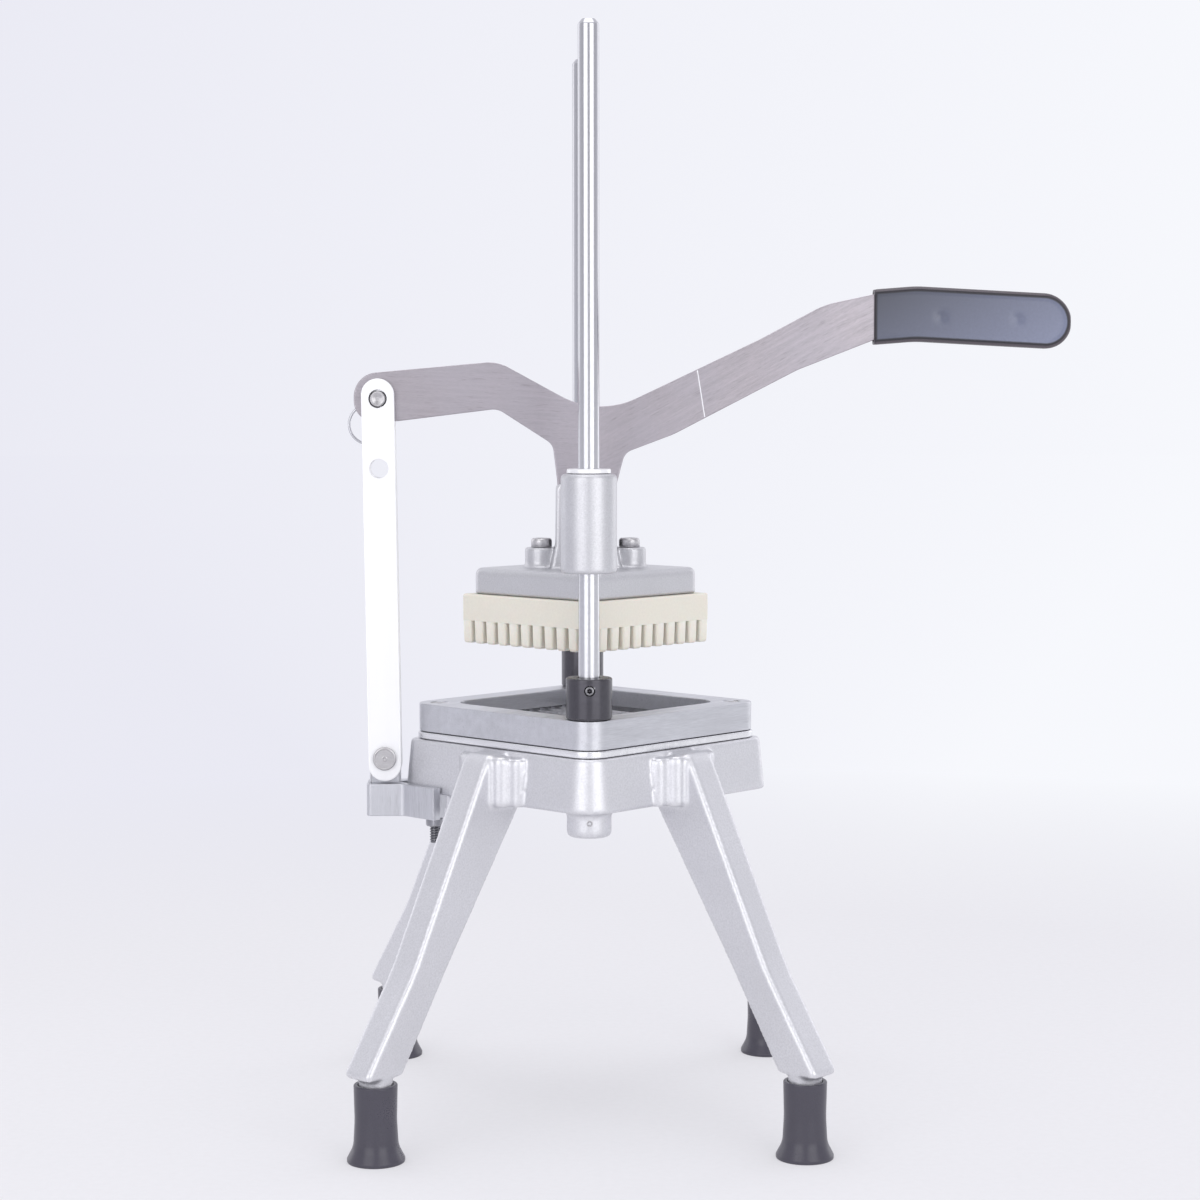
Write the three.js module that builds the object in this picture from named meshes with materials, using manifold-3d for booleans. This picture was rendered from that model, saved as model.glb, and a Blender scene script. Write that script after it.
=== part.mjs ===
// Vegetable dicer: a bench-top lever press. A lever and a link drive a toothed pusher down two
// guide rods and through a square grid of blades.
// Millimetres, +Z up, the floor at Z = 0. The square parts stand corner on to the lever: their
// corners point along X and Y. Everything is laid out about the cutting axis, then the whole
// model moves along X so that the centre of its bounding box is the origin.
import * as THREE from 'three';
import { mergeVertices } from 'three/addons/utils/BufferGeometryUtils.js';
import Module from 'manifold-3d';

const wasm = await Module();
wasm.setup();

// ---------------------------------------------------------------- driving sizes

const GAP = 0.3; // between pieces that touch
const QUARTER = Math.PI / 4; // the square parts are turned by this much

// cutting grid and pusher
const BLADES = 10; // each way
const BLADE_PITCH = 8.09;
const BLADE_THICKNESS = 0.8;
const BLADE_HEIGHT = 4.2;
const TOOTH_SLOT = 2.0; // slot between two pusher teeth
const TOOTH_HEIGHT = 11.3;
const PUSHER_LIFT = 30; // pusher teeth above the cartridge, at rest
const PUSHER_PLATE = 13.1;

// blade cartridge
const PUSHER_CLEARANCE = 4.25; // between the pusher and the opening, each side
const OPENING_CORNER = 12;
const FRAME_WALL = 14.2;
const FRAME_CORNER = 11;
const FRAME_THICKNESS = 13.9;
const BLADE_SEAT = 4.3; // how far the blade ends reach under the frame
const PLATE_THICKNESS = 3.3;
const PLATE_OVERHANG = 0.7;
const FRAME_SCREW_INSET = 14.6; // from the frame's sharp corner
const FRAME_SCREW_RADIUS = 2;
const FRAME_SCREW_HEAD = 4.2;

// base casting
const BASE_TOP = 186.2;
const RING_HEIGHT = 26;
const RING_LIP = 1.45; // of the ring's top beyond the frame, each side
const RING_FLARE = 2.6; // each side, from top to bottom
const RING_CORNER = 6;
const THROAT_CLEARANCE = 0.5; // beyond the opening, each side
const RIB_RADIUS = 4.5; // rounded ribs beside each leg
const RIB_OFFSET = 14;

// legs and feet
const LEG_WIDTH = 17;
const LEG_STEP = 13.4; // outer face of a leg beyond the ring
const LEG_DEPTH_TOP = 27.6;
const LEG_DEPTH_FOOT = 22.4;
const LEG_LEAD = 1.3; // the leg's end stands this far outside its foot
const KNEE_SHARE = 0.415; // of the way from the foot to the ring
const FOOT_CIRCLE = 142; // radius on which the feet stand
const LEG_END_HEIGHT = 40;
const FOOT_HEIGHT = 36.7;
const FOOT_RADIUS = 10.3;
const FOOT_FLANGE_RADIUS = 13.6;
const FOOT_FLOOR = 8;
const STUB_RADIUS = 8;

// guide rods
const ROD_RADIUS = 5;
const ROD_INSET = 14.8; // from the frame's sharp corner
const ROD_LENGTH = 380.05;
const ROD_CHAMFER = 2.5;
const SOCKET_RADIUS = 10.6;
const SOCKET_DROP = 12; // below the ring
const ROD_PIN_RADIUS = 1.5;
const COLLAR_RADIUS = 11;
const COLLAR_HEIGHT = 19.6;
const SET_SCREW_RADIUS = 2.2;

// pusher head
const HEAD_INSET = 3; // head plate inside the pusher, each side
const HEAD_CORNER = 6;
const HEAD_PLATE = 12.7;
const SLEEVE_RADIUS = 13.25;
const SLEEVE_LENGTH = 46.6;
const SLEEVE_LIFT = 2; // sleeve foot above the head plate
const BUSH_RADIUS = 7.4;
const BUSH_FLANGE_RADIUS = 10.4;
const BUSH_FLANGE = 2;
const BOSS_RADIUS = 8.2;
const BOSS_HEIGHT = 10;
const HEAD_BOLT_OFFSET = 21.9;
const HEAD_BOLT_RADIUS = 2.5;
const EAR_HALF_WIDTH = 14.6;
const EAR_THICKNESS = 9;
const EAR_HEIGHT = 42;
const RIB_WIDTH = 12;
const PIVOT_HEIGHT = 24.6; // lever pivot above the head plate
const PIVOT_RADIUS = 4;

// lever, link and grip
const LEVER_THICKNESS = 6;
const LEVER_END_RISE = 59.2; // joint of lever and link, above the lever's pivot
const LEVER_END_RADIUS = 12;
const LEVER_LOBE = 11; // rounding of the lever about its pivot
const HANDLE_HALF = 11.3; // half height of the lever inside the grip
const HANDLE_TIP = 239.2;
const GRIP_START = 143.2;
const GRIP_WALL = 2.1;
const GRIP_THICKNESS = 10;
const LINK_STANDOFF = 6.87; // joint of link and bracket, outside the ring's corner
const LINK_FOOT_DROP = 9.5; // below the top of the ring
const LINK_LEAN = 2.3; // the link's top stands this much further out
const BAR_HALF_WIDTH = 8.15;
const BAR_THICKNESS = 4;
const BAR_PLAY = 0.5; // between a bar and the lever
const BAR_TOP_REACH = 10; // bar end beyond the joint
const BAR_FOOT_REACH = 11.4;
const PIN_RADIUS = 4;
const RIVET_RADIUS = 3.3;
const RIVET_HEAD_RADIUS = 5.8;
const RIVET_HEAD = 2;
const SPARE_HOLE_RADIUS = 4.7; // second place for the quick-release pin
const SPARE_HOLE_DROP = 34.4; // below the lever joint
const RING_WIRE = 0.7;
const RING_RADIUS = 9.7;
const RING_HANG = 4.2; // hole in the pin's tongue, from the pin's axis
const RING_LEAN = 0.41; // the ring hangs this much to the left, radians

// link bracket
const BRACKET_HEIGHT = 16;
const BRACKET_DROP = 22; // its top, below the top of the ring
const BRACKET_HALF_WIDTH = 10;
const BRACKET_OVERHANG = 9; // beyond the link's joint
const BRACKET_ARM = 5;
const BRACKET_ARM_REACH = 22; // how far the arms reach along Y
const BRACKET_STUD_RADIUS = 2.4;

// ---------------------------------------------------------------- derived places

const pusherSide = (BLADES + 1) * BLADE_PITCH - TOOTH_SLOT;
const openingSide = pusherSide + 2 * PUSHER_CLEARANCE;
const frameSide = openingSide + 2 * FRAME_WALL;
const ringSide = frameSide + 2 * RING_LIP;
const throatSide = openingSide + 2 * THROAT_CLEARANCE;
const headSide = pusherSide - 2 * HEAD_INSET;
const rodOffset = frameSide / Math.SQRT2 - ROD_INSET;
const frameScrewOffset = frameSide / Math.SQRT2 - FRAME_SCREW_INSET;
const legTopRadius = ringSide / 2 + LEG_STEP;
const plateBottom = BASE_TOP + GAP;
const plateTop = plateBottom + PLATE_THICKNESS;
const frameBottom = plateTop + GAP;
const frameTop = frameBottom + FRAME_THICKNESS;
const bladeLevels = [plateBottom, plateBottom + BLADE_HEIGHT + GAP];
const bladeTop = bladeLevels[1] + BLADE_HEIGHT;
const ringBottom = BASE_TOP - RING_HEIGHT;
const collarBottom = frameTop + GAP;
const toothBottom = frameTop + PUSHER_LIFT;
const pusherBottom = toothBottom + TOOTH_HEIGHT;
const pusherTop = pusherBottom + PUSHER_PLATE;
const headBottom = pusherTop + GAP;
const headTop = headBottom + HEAD_PLATE;
const sleeveBottom = headTop + SLEEVE_LIFT;
const sleeveTop = sleeveBottom + SLEEVE_LENGTH;
const earInside = LEVER_THICKNESS / 2 + BAR_PLAY;
const earOutside = earInside + EAR_THICKNESS;
const pivotZ = headTop + PIVOT_HEIGHT;
const barInside = LEVER_THICKNESS / 2 + BAR_PLAY;
const barOutside = barInside + BAR_THICKNESS;
const ringHalfBottom = ringSide / 2 + RING_FLARE;
const linkFootX = -(ringHalfBottom * Math.SQRT2 + LINK_STANDOFF);
const linkFootZ = BASE_TOP - LINK_FOOT_DROP;
const leverEndX = linkFootX - LINK_LEAN;
const leverEndZ = pivotZ + LEVER_END_RISE;
const linkAngle = Math.atan2(leverEndX - linkFootX, leverEndZ - linkFootZ);
const bracketTop = BASE_TOP - BRACKET_DROP;
const bracketBottom = bracketTop - BRACKET_HEIGHT;

const steel = { color: 0xaeaaae, roughness: 0.35, metalness: 1 };
const brightSteel = { color: 0xe2e2e6, roughness: 0.2, metalness: 1 };
const castAluminium = { color: 0xc8c8ce, roughness: 0.5, metalness: 0.9 };
const machinedAluminium = { color: 0xb9bcc8, roughness: 0.35, metalness: 1 };
const blackOxide = { color: 0x3a3940, roughness: 0.35, metalness: 0.6 };
const bladeSteel = { color: 0x8f9096, roughness: 0.3, metalness: 1 };
const ivoryPlastic = { color: 0xe2dfd2, roughness: 0.5, metalness: 0 };
const darkRubber = { color: 0x4b4952, roughness: 0.7, metalness: 0 };
const vinyl = { color: 0x2c2f38, roughness: 0.35, metalness: 0 };

// ---------------------------------------------------------------- helpers

const inner = new THREE.Group();

function addPart(name, geometry, finish) {
  const mesh = new THREE.Mesh(geometry, new THREE.MeshStandardMaterial(finish));
  mesh.name = name;
  inner.add(mesh);
  return mesh;
}

// A closed geometry as a solid that can be joined and cut.
function solid(geometry) {
  const bare = geometry.clone();
  bare.deleteAttribute('normal');
  bare.deleteAttribute('uv');
  const merged = mergeVertices(bare, 1e-4);
  return new wasm.Manifold(
    new wasm.Mesh({
      numProp: 3,
      vertProperties: new Float32Array(merged.attributes.position.array),
      triVerts: new Uint32Array(merged.index.array),
    }),
  );
}

function geometryOf(body) {
  const mesh = body.getMesh();
  const geometry = new THREE.BufferGeometry();
  geometry.setAttribute('position', new THREE.BufferAttribute(mesh.vertProperties, 3));
  geometry.setIndex(new THREE.BufferAttribute(mesh.triVerts, 1));
  geometry.computeVertexNormals();
  return geometry;
}

function join(geometries) {
  return geometries.map(solid).reduce((whole, piece) => whole.add(piece));
}

function cut(body, geometries) {
  return geometries.map(solid).reduce((whole, piece) => whole.subtract(piece), body);
}

// Outline through corners [x, y, radius], each corner rounded by its radius.
function outline(corners, Kind = THREE.Shape) {
  const path = new Kind();
  const count = corners.length;
  corners.forEach(([x, y, radius = 0], i) => {
    const here = new THREE.Vector2(x, y);
    const before = new THREE.Vector2(...corners[(i + count - 1) % count].slice(0, 2));
    const after = new THREE.Vector2(...corners[(i + 1) % count].slice(0, 2));
    const toBefore = before.clone().sub(here).normalize();
    const toAfter = after.clone().sub(here).normalize();
    const halfAngle = Math.acos(THREE.MathUtils.clamp(toBefore.dot(toAfter), -1, 1)) / 2;
    const room = 0.499 * Math.min(before.distanceTo(here), after.distanceTo(here));
    const run = Math.min(radius / Math.tan(halfAngle), room);
    const start = here.clone().addScaledVector(toBefore, run);
    if (i === 0) path.moveTo(start.x, start.y);
    else path.lineTo(start.x, start.y);
    if (run < 1e-6) return;
    const fillet = run * Math.tan(halfAngle);
    const middle = toBefore.clone().add(toAfter).normalize();
    const centre = here.clone().addScaledVector(middle, fillet / Math.sin(halfAngle));
    const end = here.clone().addScaledVector(toAfter, run);
    const from = Math.atan2(start.y - centre.y, start.x - centre.x);
    const to = Math.atan2(end.y - centre.y, end.x - centre.x);
    const clockwise = toBefore.cross(toAfter) > 0;
    path.absarc(centre.x, centre.y, fillet, from, to, clockwise);
  });
  path.closePath();
  return path;
}

function square(side, radii, Kind = THREE.Shape) {
  const half = side / 2;
  const [left, front, right, rear] = Array.isArray(radii) ? radii : Array(4).fill(radii);
  return outline([[-half, half, left], [-half, -half, front], [half, -half, right], [half, half, rear]], Kind);
}

// Upright prism of an outline drawn in plan.
function prism(shape, bottom, top, curveSegments = 4) {
  const options = { depth: top - bottom, bevelEnabled: false, curveSegments, steps: 1 };
  return new THREE.ExtrudeGeometry(shape, options).translate(0, 0, bottom);
}

// Square prism, corner on, its corners rounded.
function diamond(side, radii, bottom, top, curveSegments = 4) {
  return prism(square(side, radii), bottom, top, curveSegments).rotateZ(QUARTER);
}

// Plate of an outline drawn in the XZ plane, between two Y values.
function slab(shape, front, back, curveSegments = 5) {
  const options = { depth: back - front, bevelEnabled: false, curveSegments, steps: 1 };
  return new THREE.ExtrudeGeometry(shape, options).rotateX(Math.PI / 2).translate(0, back, 0);
}

// Turned solid about Z from [radius, height] points that start and end on the axis.
function turned(points, segments = 16) {
  const profile = points.map(([radius, height]) => new THREE.Vector2(radius, height));
  return new THREE.LatheGeometry(profile, segments).rotateX(Math.PI / 2);
}

function cylinder(radius, bottom, top, segments = 16) {
  return turned([[0, bottom], [radius, bottom], [radius, top], [0, top]], segments);
}

// Turned solid about a line along Y.
function turnedAlongY(points, x, z, segments = 16) {
  return turned(points, segments).rotateX(-Math.PI / 2).translate(x, 0, z);
}

function cylinderAlongY(radius, front, back, x, z, segments = 16) {
  return turnedAlongY([[0, front], [radius, front], [radius, back], [0, back]], x, z, segments);
}

function box(x0, x1, y0, y1, z0, z1) {
  const size = new THREE.BoxGeometry(x1 - x0, y1 - y0, z1 - z0);
  return size.translate((x0 + x1) / 2, (y0 + y1) / 2, (z0 + z1) / 2);
}

const ends = [['front', -1], ['rear', 1]];

// ---------------------------------------------------------------- base casting and feet

// Square ring that widens towards its bottom.
function flaredRing() {
  const round = rodOffset / Math.SQRT2;
  const rodCorner = ringSide / 2 - round;
  const ring = diamond(ringSide, [RING_CORNER, rodCorner, RING_CORNER, rodCorner], ringBottom, BASE_TOP);
  const places = ring.attributes.position;
  for (let i = 0; i < places.count; i += 1) {
    const down = (BASE_TOP - places.getZ(i)) / RING_HEIGHT;
    const grow = 1 + (down * RING_FLARE * 2) / ringSide;
    places.setXY(i, places.getX(i) * grow, places.getY(i) * grow);
  }
  return ring;
}

// Radial section of a leg: [distance from the axis, height].
function legSection() {
  const outerFoot = FOOT_CIRCLE + LEG_LEAD + LEG_DEPTH_FOOT / 2;
  const innerFoot = FOOT_CIRCLE + LEG_LEAD - LEG_DEPTH_FOOT / 2;
  const kneeHeight = LEG_END_HEIGHT + 0.4 * (ringBottom - LEG_END_HEIGHT);
  const kneeRadius = outerFoot - KNEE_SHARE * (outerFoot - legTopRadius);
  const top = BASE_TOP - 1;
  const innerTop = throatSide / 2 + 1;
  return outline([
    [innerTop, top, 0],
    [legTopRadius, top, 1],
    [legTopRadius + 1, top - 4, 2],
    [kneeRadius + 2, kneeHeight, 60],
    [outerFoot, LEG_END_HEIGHT + 2, 1],
    [outerFoot - 1, LEG_END_HEIGHT, 1],
    [innerFoot, LEG_END_HEIGHT, 1],
    [kneeRadius - LEG_DEPTH_TOP + 7, kneeHeight, 60],
    [innerTop + 3, ringBottom + 2, 3],
  ]);
}

function leg(angle) {
  const beam = slab(legSection(), -LEG_WIDTH / 2, LEG_WIDTH / 2, 3);
  const stubBottom = FOOT_FLOOR + GAP;
  const stub = cylinder(STUB_RADIUS, stubBottom, LEG_END_HEIGHT + 3, 16).translate(FOOT_CIRCLE, 0, 0);
  const ribs = [-1, 1].map((side) => {
    const rib = cylinder(RIB_RADIUS, ringBottom, BASE_TOP - 2.5, 10);
    return rib.translate(ringSide / 2 + 1.2, side * RIB_OFFSET, 0);
  });
  return [beam, stub, ...ribs].map((geometry) => geometry.rotateZ(angle));
}

const legAngles = {
  rear_right: QUARTER,
  rear_left: 3 * QUARTER,
  front_left: 5 * QUARTER,
  front_right: 7 * QUARTER,
};

function rodHole(bottom, top) {
  return ends.map(([, side]) => {
    return cylinder(ROD_RADIUS + GAP, bottom, top).translate(0, side * rodOffset, 0);
  });
}

const socketBottom = ringBottom - SOCKET_DROP;
const rodBottom = socketBottom + 2.5;
const rodTop = rodBottom + ROD_LENGTH;
const rodPinZ = ringBottom - 4.5;
const rodPinEnd = rodOffset + SOCKET_RADIUS - 0.4;
const rodPinStart = rodOffset - SOCKET_RADIUS + 0.4;

// Hole or pin across a rod, along Y.
function acrossRod(radius, side, height, near, far, segments) {
  const [front, back] = [side * near, side * far].sort((a, b) => a - b);
  return cylinderAlongY(radius, front, back, 0, height, segments);
}

const studPlaces = ends.map(([name, side]) => {
  const along = BRACKET_ARM_REACH * 0.66;
  return { name, x: -(ringHalfBottom * Math.SQRT2 - along - 3.4), y: side * along };
});

function baseCasting() {
  const sockets = ends.map(([, side]) => {
    const bottom = [[0, socketBottom], [SOCKET_RADIUS - 2, socketBottom], [SOCKET_RADIUS, socketBottom + 2]];
    const socket = turned([...bottom, [SOCKET_RADIUS, BASE_TOP - 1], [0, BASE_TOP - 1]]);
    return socket.translate(0, side * rodOffset, 0);
  });
  const stops = ends.map(([, side]) => {
    const stop = box(0, 6, -4, 4, ringBottom - 10, ringBottom + 2);
    const reach = BRACKET_ARM_REACH + GAP + 1;
    const x = -(ringHalfBottom * Math.SQRT2 - reach) + 5;
    return stop.rotateZ(side * QUARTER).translate(x, side * (reach - 1), 0);
  });
  const legs = Object.values(legAngles).flatMap(leg);
  const whole = join([flaredRing(), ...sockets, ...stops, ...legs]);
  const pins = ends.map(([, side]) => acrossRod(ROD_PIN_RADIUS + GAP, side, rodPinZ, rodPinStart - 5, rodPinEnd + 5, 10));
  const screwHoles = [-1, 1].map((side) => {
    const hole = cylinder(FRAME_SCREW_RADIUS + GAP, BASE_TOP - 15, BASE_TOP + 1, 16);
    return hole.translate(side * frameScrewOffset, 0, 0);
  });
  const studHoles = studPlaces.map(({ x, y }) => {
    return cylinder(BRACKET_STUD_RADIUS + GAP, ringBottom - 1, ringBottom + 12, 12).translate(x, y, 0);
  });
  const throat = diamond(throatSide, OPENING_CORNER, ringBottom - 9, BASE_TOP + 1);
  return cut(whole, [throat, ...rodHole(rodBottom - GAP, BASE_TOP + 1), ...pins, ...screwHoles, ...studHoles]);
}

function foot() {
  const bore = STUB_RADIUS + GAP;
  return turned([
    [0, 0],
    [FOOT_FLANGE_RADIUS, 0],
    [FOOT_FLANGE_RADIUS, 1.2],
    [FOOT_RADIUS + 0.8, 6],
    [FOOT_RADIUS, 12],
    [FOOT_RADIUS, FOOT_HEIGHT],
    [bore, FOOT_HEIGHT],
    [bore, FOOT_FLOOR],
    [0, FOOT_FLOOR],
  ], 24);
}

addPart('base_casting', geometryOf(baseCasting()), castAluminium);
for (const [name, angle] of Object.entries(legAngles)) {
  const x = FOOT_CIRCLE * Math.cos(angle);
  const y = FOOT_CIRCLE * Math.sin(angle);
  addPart(`foot_${name}`, foot(), darkRubber).position.set(x, y, 0);
}

// ---------------------------------------------------------------- blade cartridge

// Countersunk screw, or the hole for it when it is grown by the clearance.
function frameScrew(grow, bottom) {
  const neck = FRAME_SCREW_RADIUS + grow;
  const head = FRAME_SCREW_HEAD + grow;
  const top = frameTop + (grow > 0 ? 1 : -0.4);
  return turned([
    [0, bottom],
    [neck, bottom],
    [neck, frameTop - 0.4 - (FRAME_SCREW_HEAD - FRAME_SCREW_RADIUS)],
    [head, frameTop - 0.4],
    [head, top + 0.01],
    [0, top + 0.01],
  ], 16);
}

const seatSide = openingSide + 2 * BLADE_SEAT;
const opening = diamond(openingSide, OPENING_CORNER, frameBottom - 1, frameTop + 1, 5);
const seat = diamond(seatSide, OPENING_CORNER, plateBottom - 1, bladeTop + GAP, 5);
const frameScrewHoles = [-1, 1].map((side) => {
  return frameScrew(GAP, plateBottom - 1).translate(side * frameScrewOffset, 0, 0);
});
const cartridgeHoles = [...rodHole(plateBottom - 1, frameTop + 1), ...frameScrewHoles];

const frameBody = solid(diamond(frameSide, FRAME_CORNER, frameBottom, frameTop, 6));
addPart('blade_frame', geometryOf(cut(frameBody, [opening, seat, ...cartridgeHoles])), machinedAluminium);

const plateSide = frameSide + 2 * PLATE_OVERHANG;
const plateBody = solid(diamond(plateSide, FRAME_CORNER + PLATE_OVERHANG, plateBottom, plateTop, 6));
addPart('blade_plate', geometryOf(cut(plateBody, [seat, ...cartridgeHoles])), brightSteel);

['left', 'right'].forEach((name, i) => {
  const screw = addPart(`frame_screw_${name}`, frameScrew(0, BASE_TOP - 13), steel);
  screw.position.x = (2 * i - 1) * frameScrewOffset;
});

// Two crossing layers of straight blades, their ends in the seat of the frame.
const bladeLength = seatSide - 2 * GAP;
['lower', 'upper'].forEach((layer, level) => {
  for (let i = 0; i < BLADES; i += 1) {
    const offset = (i - (BLADES - 1) / 2) * BLADE_PITCH;
    const blade = new THREE.BoxGeometry(bladeLength, BLADE_THICKNESS, BLADE_HEIGHT);
    blade.translate(0, offset, bladeLevels[level] + BLADE_HEIGHT / 2);
    blade.rotateZ(level === 0 ? QUARTER : -QUARTER);
    addPart(`blade_${layer}_${i + 1}`, blade, bladeSteel);
  }
});

// ---------------------------------------------------------------- guide rods and collars

const collarTop = collarBottom + COLLAR_HEIGHT;
const setScrewZ = collarBottom + COLLAR_HEIGHT * 0.72;
const setScrewStart = rodOffset + ROD_RADIUS + 2 * GAP;
const setScrewEnd = rodOffset + COLLAR_RADIUS - 0.5;

function guideRod(side) {
  const rod = turned([
    [0, rodBottom],
    [ROD_RADIUS, rodBottom],
    [ROD_RADIUS, rodTop - ROD_CHAMFER],
    [ROD_RADIUS - ROD_CHAMFER + 0.3, rodTop],
    [0, rodTop],
  ], 24).translate(0, side * rodOffset, 0);
  const pinHole = acrossRod(ROD_PIN_RADIUS + GAP, side, rodPinZ, rodOffset - 9, rodOffset + 9, 10);
  return cut(solid(rod), [pinHole]);
}

function collar(side) {
  const chamfer = 0.8;
  const bore = ROD_RADIUS + GAP;
  const ring = turned([
    [bore, collarBottom],
    [COLLAR_RADIUS - chamfer, collarBottom],
    [COLLAR_RADIUS, collarBottom + chamfer],
    [COLLAR_RADIUS, collarTop - chamfer],
    [COLLAR_RADIUS - chamfer, collarTop],
    [bore, collarTop],
    [bore, collarBottom],
  ], 24).translate(0, side * rodOffset, 0);
  const hole = acrossRod(SET_SCREW_RADIUS + GAP, side, setScrewZ, rodOffset, rodOffset + 14, 12);
  return cut(solid(ring), [hole]);
}

for (const [name, side] of ends) {
  const rodPin = acrossRod(ROD_PIN_RADIUS, side, rodPinZ, rodPinStart, rodPinEnd, 10);
  const setScrew = acrossRod(SET_SCREW_RADIUS, side, setScrewZ, setScrewStart, setScrewEnd, 12);
  addPart(`guide_rod_${name}`, geometryOf(guideRod(side)), brightSteel);
  addPart(`rod_pin_${name}`, rodPin, steel);
  addPart(`rod_collar_${name}`, geometryOf(collar(side)), blackOxide);
  addPart(`collar_screw_${name}`, setScrew, blackOxide);
}

// ---------------------------------------------------------------- link bracket

// Plan of the bracket: a block that carries the link, and two arms along the sides of the ring.
function bracketPlan() {
  const inside = ringHalfBottom * Math.SQRT2 + GAP * 2;
  const outside = inside + BRACKET_ARM * Math.SQRT2;
  const reach = BRACKET_ARM_REACH;
  const tip = reach + BRACKET_ARM / Math.SQRT2;
  const half = BRACKET_HALF_WIDTH;
  return outline([
    [linkFootX - BRACKET_OVERHANG, half, 1],
    [linkFootX - BRACKET_OVERHANG, -half, 1],
    [half - outside, -half, 1],
    [tip - outside, -tip, 0.5],
    [reach - inside, -reach, 0.5],
    [-inside, 0, 2],
    [reach - inside, reach, 0.5],
    [tip - outside, tip, 0.5],
    [half - outside, half, 1],
  ]);
}

// Web of the bracket under the ring, which the studs pass through.
function bracketWeb() {
  const edge = ringHalfBottom * Math.SQRT2 + GAP * 2 + 1;
  const reach = BRACKET_ARM_REACH - 2;
  return outline([
    [-edge, 0, 0],
    [reach - edge, -reach, 0],
    [reach - edge + 5, 5 - reach, 0],
    [11 - edge, 0, 2],
    [reach - edge + 5, reach - 5, 0],
    [reach - edge, reach, 0],
  ]);
}

const bracketTab = LEVER_THICKNESS / 2;
const webTop = ringBottom - GAP;

function linkBracket() {
  const tabTop = linkFootZ + BAR_HALF_WIDTH;
  const tabShape = outline([
    [linkFootX - BAR_HALF_WIDTH + 0.4, bracketTop - 2, 0],
    [linkFootX + BAR_HALF_WIDTH - 0.4, bracketTop - 2, 0],
    [linkFootX + BAR_HALF_WIDTH - 0.4, tabTop, 7],
    [linkFootX - BAR_HALF_WIDTH + 0.4, tabTop, 7],
  ]);
  const tab = slab(tabShape, -bracketTab, bracketTab, 4);
  const whole = join([
    prism(bracketPlan(), bracketBottom, bracketTop, 3),
    prism(bracketWeb(), bracketBottom, webTop, 3),
    tab,
  ]);
  const rivetHole = cylinderAlongY(RIVET_RADIUS + GAP, -9, 9, linkFootX, linkFootZ, 16);
  const studHoles = studPlaces.map(({ x, y }) => {
    return cylinder(BRACKET_STUD_RADIUS + GAP, bracketBottom - 1, webTop + 1, 12).translate(x, y, 0);
  });
  return cut(whole, [rivetHole, ...studHoles]);
}

const nutHeight = 3.7;
const nutTop = bracketBottom - GAP;

addPart('link_bracket', geometryOf(linkBracket()), machinedAluminium);
for (const { name, x, y } of studPlaces) {
  const stud = cylinder(BRACKET_STUD_RADIUS, nutTop - nutHeight - 8.6, ringBottom + 11, 12);
  const nutBore = BRACKET_STUD_RADIUS + GAP;
  const nut = turned([
    [nutBore, nutTop - nutHeight],
    [3.6, nutTop - nutHeight],
    [4.6, nutTop - nutHeight + 1.2],
    [4.6, nutTop],
    [nutBore, nutTop],
    [nutBore, nutTop - nutHeight],
  ], 12);
  addPart(`bracket_stud_${name}`, stud, steel).position.set(x, y, 0);
  addPart(`bracket_nut_${name}`, nut, steel).position.set(x, y, 0);
}

// ---------------------------------------------------------------- link

// A point on the link, a distance below the lever joint.
function onLink(below) {
  const x = leverEndX - below * Math.sin(linkAngle);
  const z = leverEndZ - below * Math.cos(linkAngle);
  return [x, z];
}

function linkBar(front, back) {
  const length = Math.hypot(leverEndX - linkFootX, leverEndZ - linkFootZ);
  const half = BAR_HALF_WIDTH;
  const shape = outline([
    [-half, -length - BAR_FOOT_REACH, half],
    [half, -length - BAR_FOOT_REACH, half],
    [half, BAR_TOP_REACH, half],
    [-half, BAR_TOP_REACH, half],
  ]);
  const bar = slab(shape, front, back, 6).rotateY(linkAngle).translate(leverEndX, 0, leverEndZ);
  const [spareX, spareZ] = onLink(SPARE_HOLE_DROP);
  return cut(solid(bar), [
    cylinderAlongY(PIN_RADIUS + GAP, -20, 20, leverEndX, leverEndZ),
    cylinderAlongY(SPARE_HOLE_RADIUS, -20, 20, spareX, spareZ),
    cylinderAlongY(RIVET_RADIUS + GAP, -20, 20, linkFootX, linkFootZ, 16),
  ]);
}

function rivet() {
  const face = barOutside + GAP;
  const edge = face + RIVET_HEAD;
  return turnedAlongY([
    [0, -edge],
    [RIVET_HEAD_RADIUS - 1, -edge],
    [RIVET_HEAD_RADIUS, -face - 1],
    [RIVET_HEAD_RADIUS, -face],
    [RIVET_RADIUS, -face],
    [RIVET_RADIUS, face],
    [RIVET_HEAD_RADIUS, face],
    [RIVET_HEAD_RADIUS, face + 1],
    [RIVET_HEAD_RADIUS - 1, edge],
    [0, edge],
  ], linkFootX, linkFootZ, 16);
}

addPart('link_bar_front', geometryOf(linkBar(-barOutside, -barInside)), brightSteel);
addPart('link_bar_rear', geometryOf(linkBar(barInside, barOutside)), brightSteel);
addPart('link_rivet', rivet(), steel);

// ---------------------------------------------------------------- quick-release pin and its ring

const tongueStart = barOutside + GAP;
const tongueEnd = tongueStart + 5;
const ringY = tongueStart + 2.5;
const hang = new THREE.Vector2(-Math.sin(RING_LEAN), -Math.cos(RING_LEAN));
const ringCentreX = leverEndX + hang.x * (RING_HANG + RING_RADIUS);
const ringCentreZ = leverEndZ + hang.y * (RING_HANG + RING_RADIUS);

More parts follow.
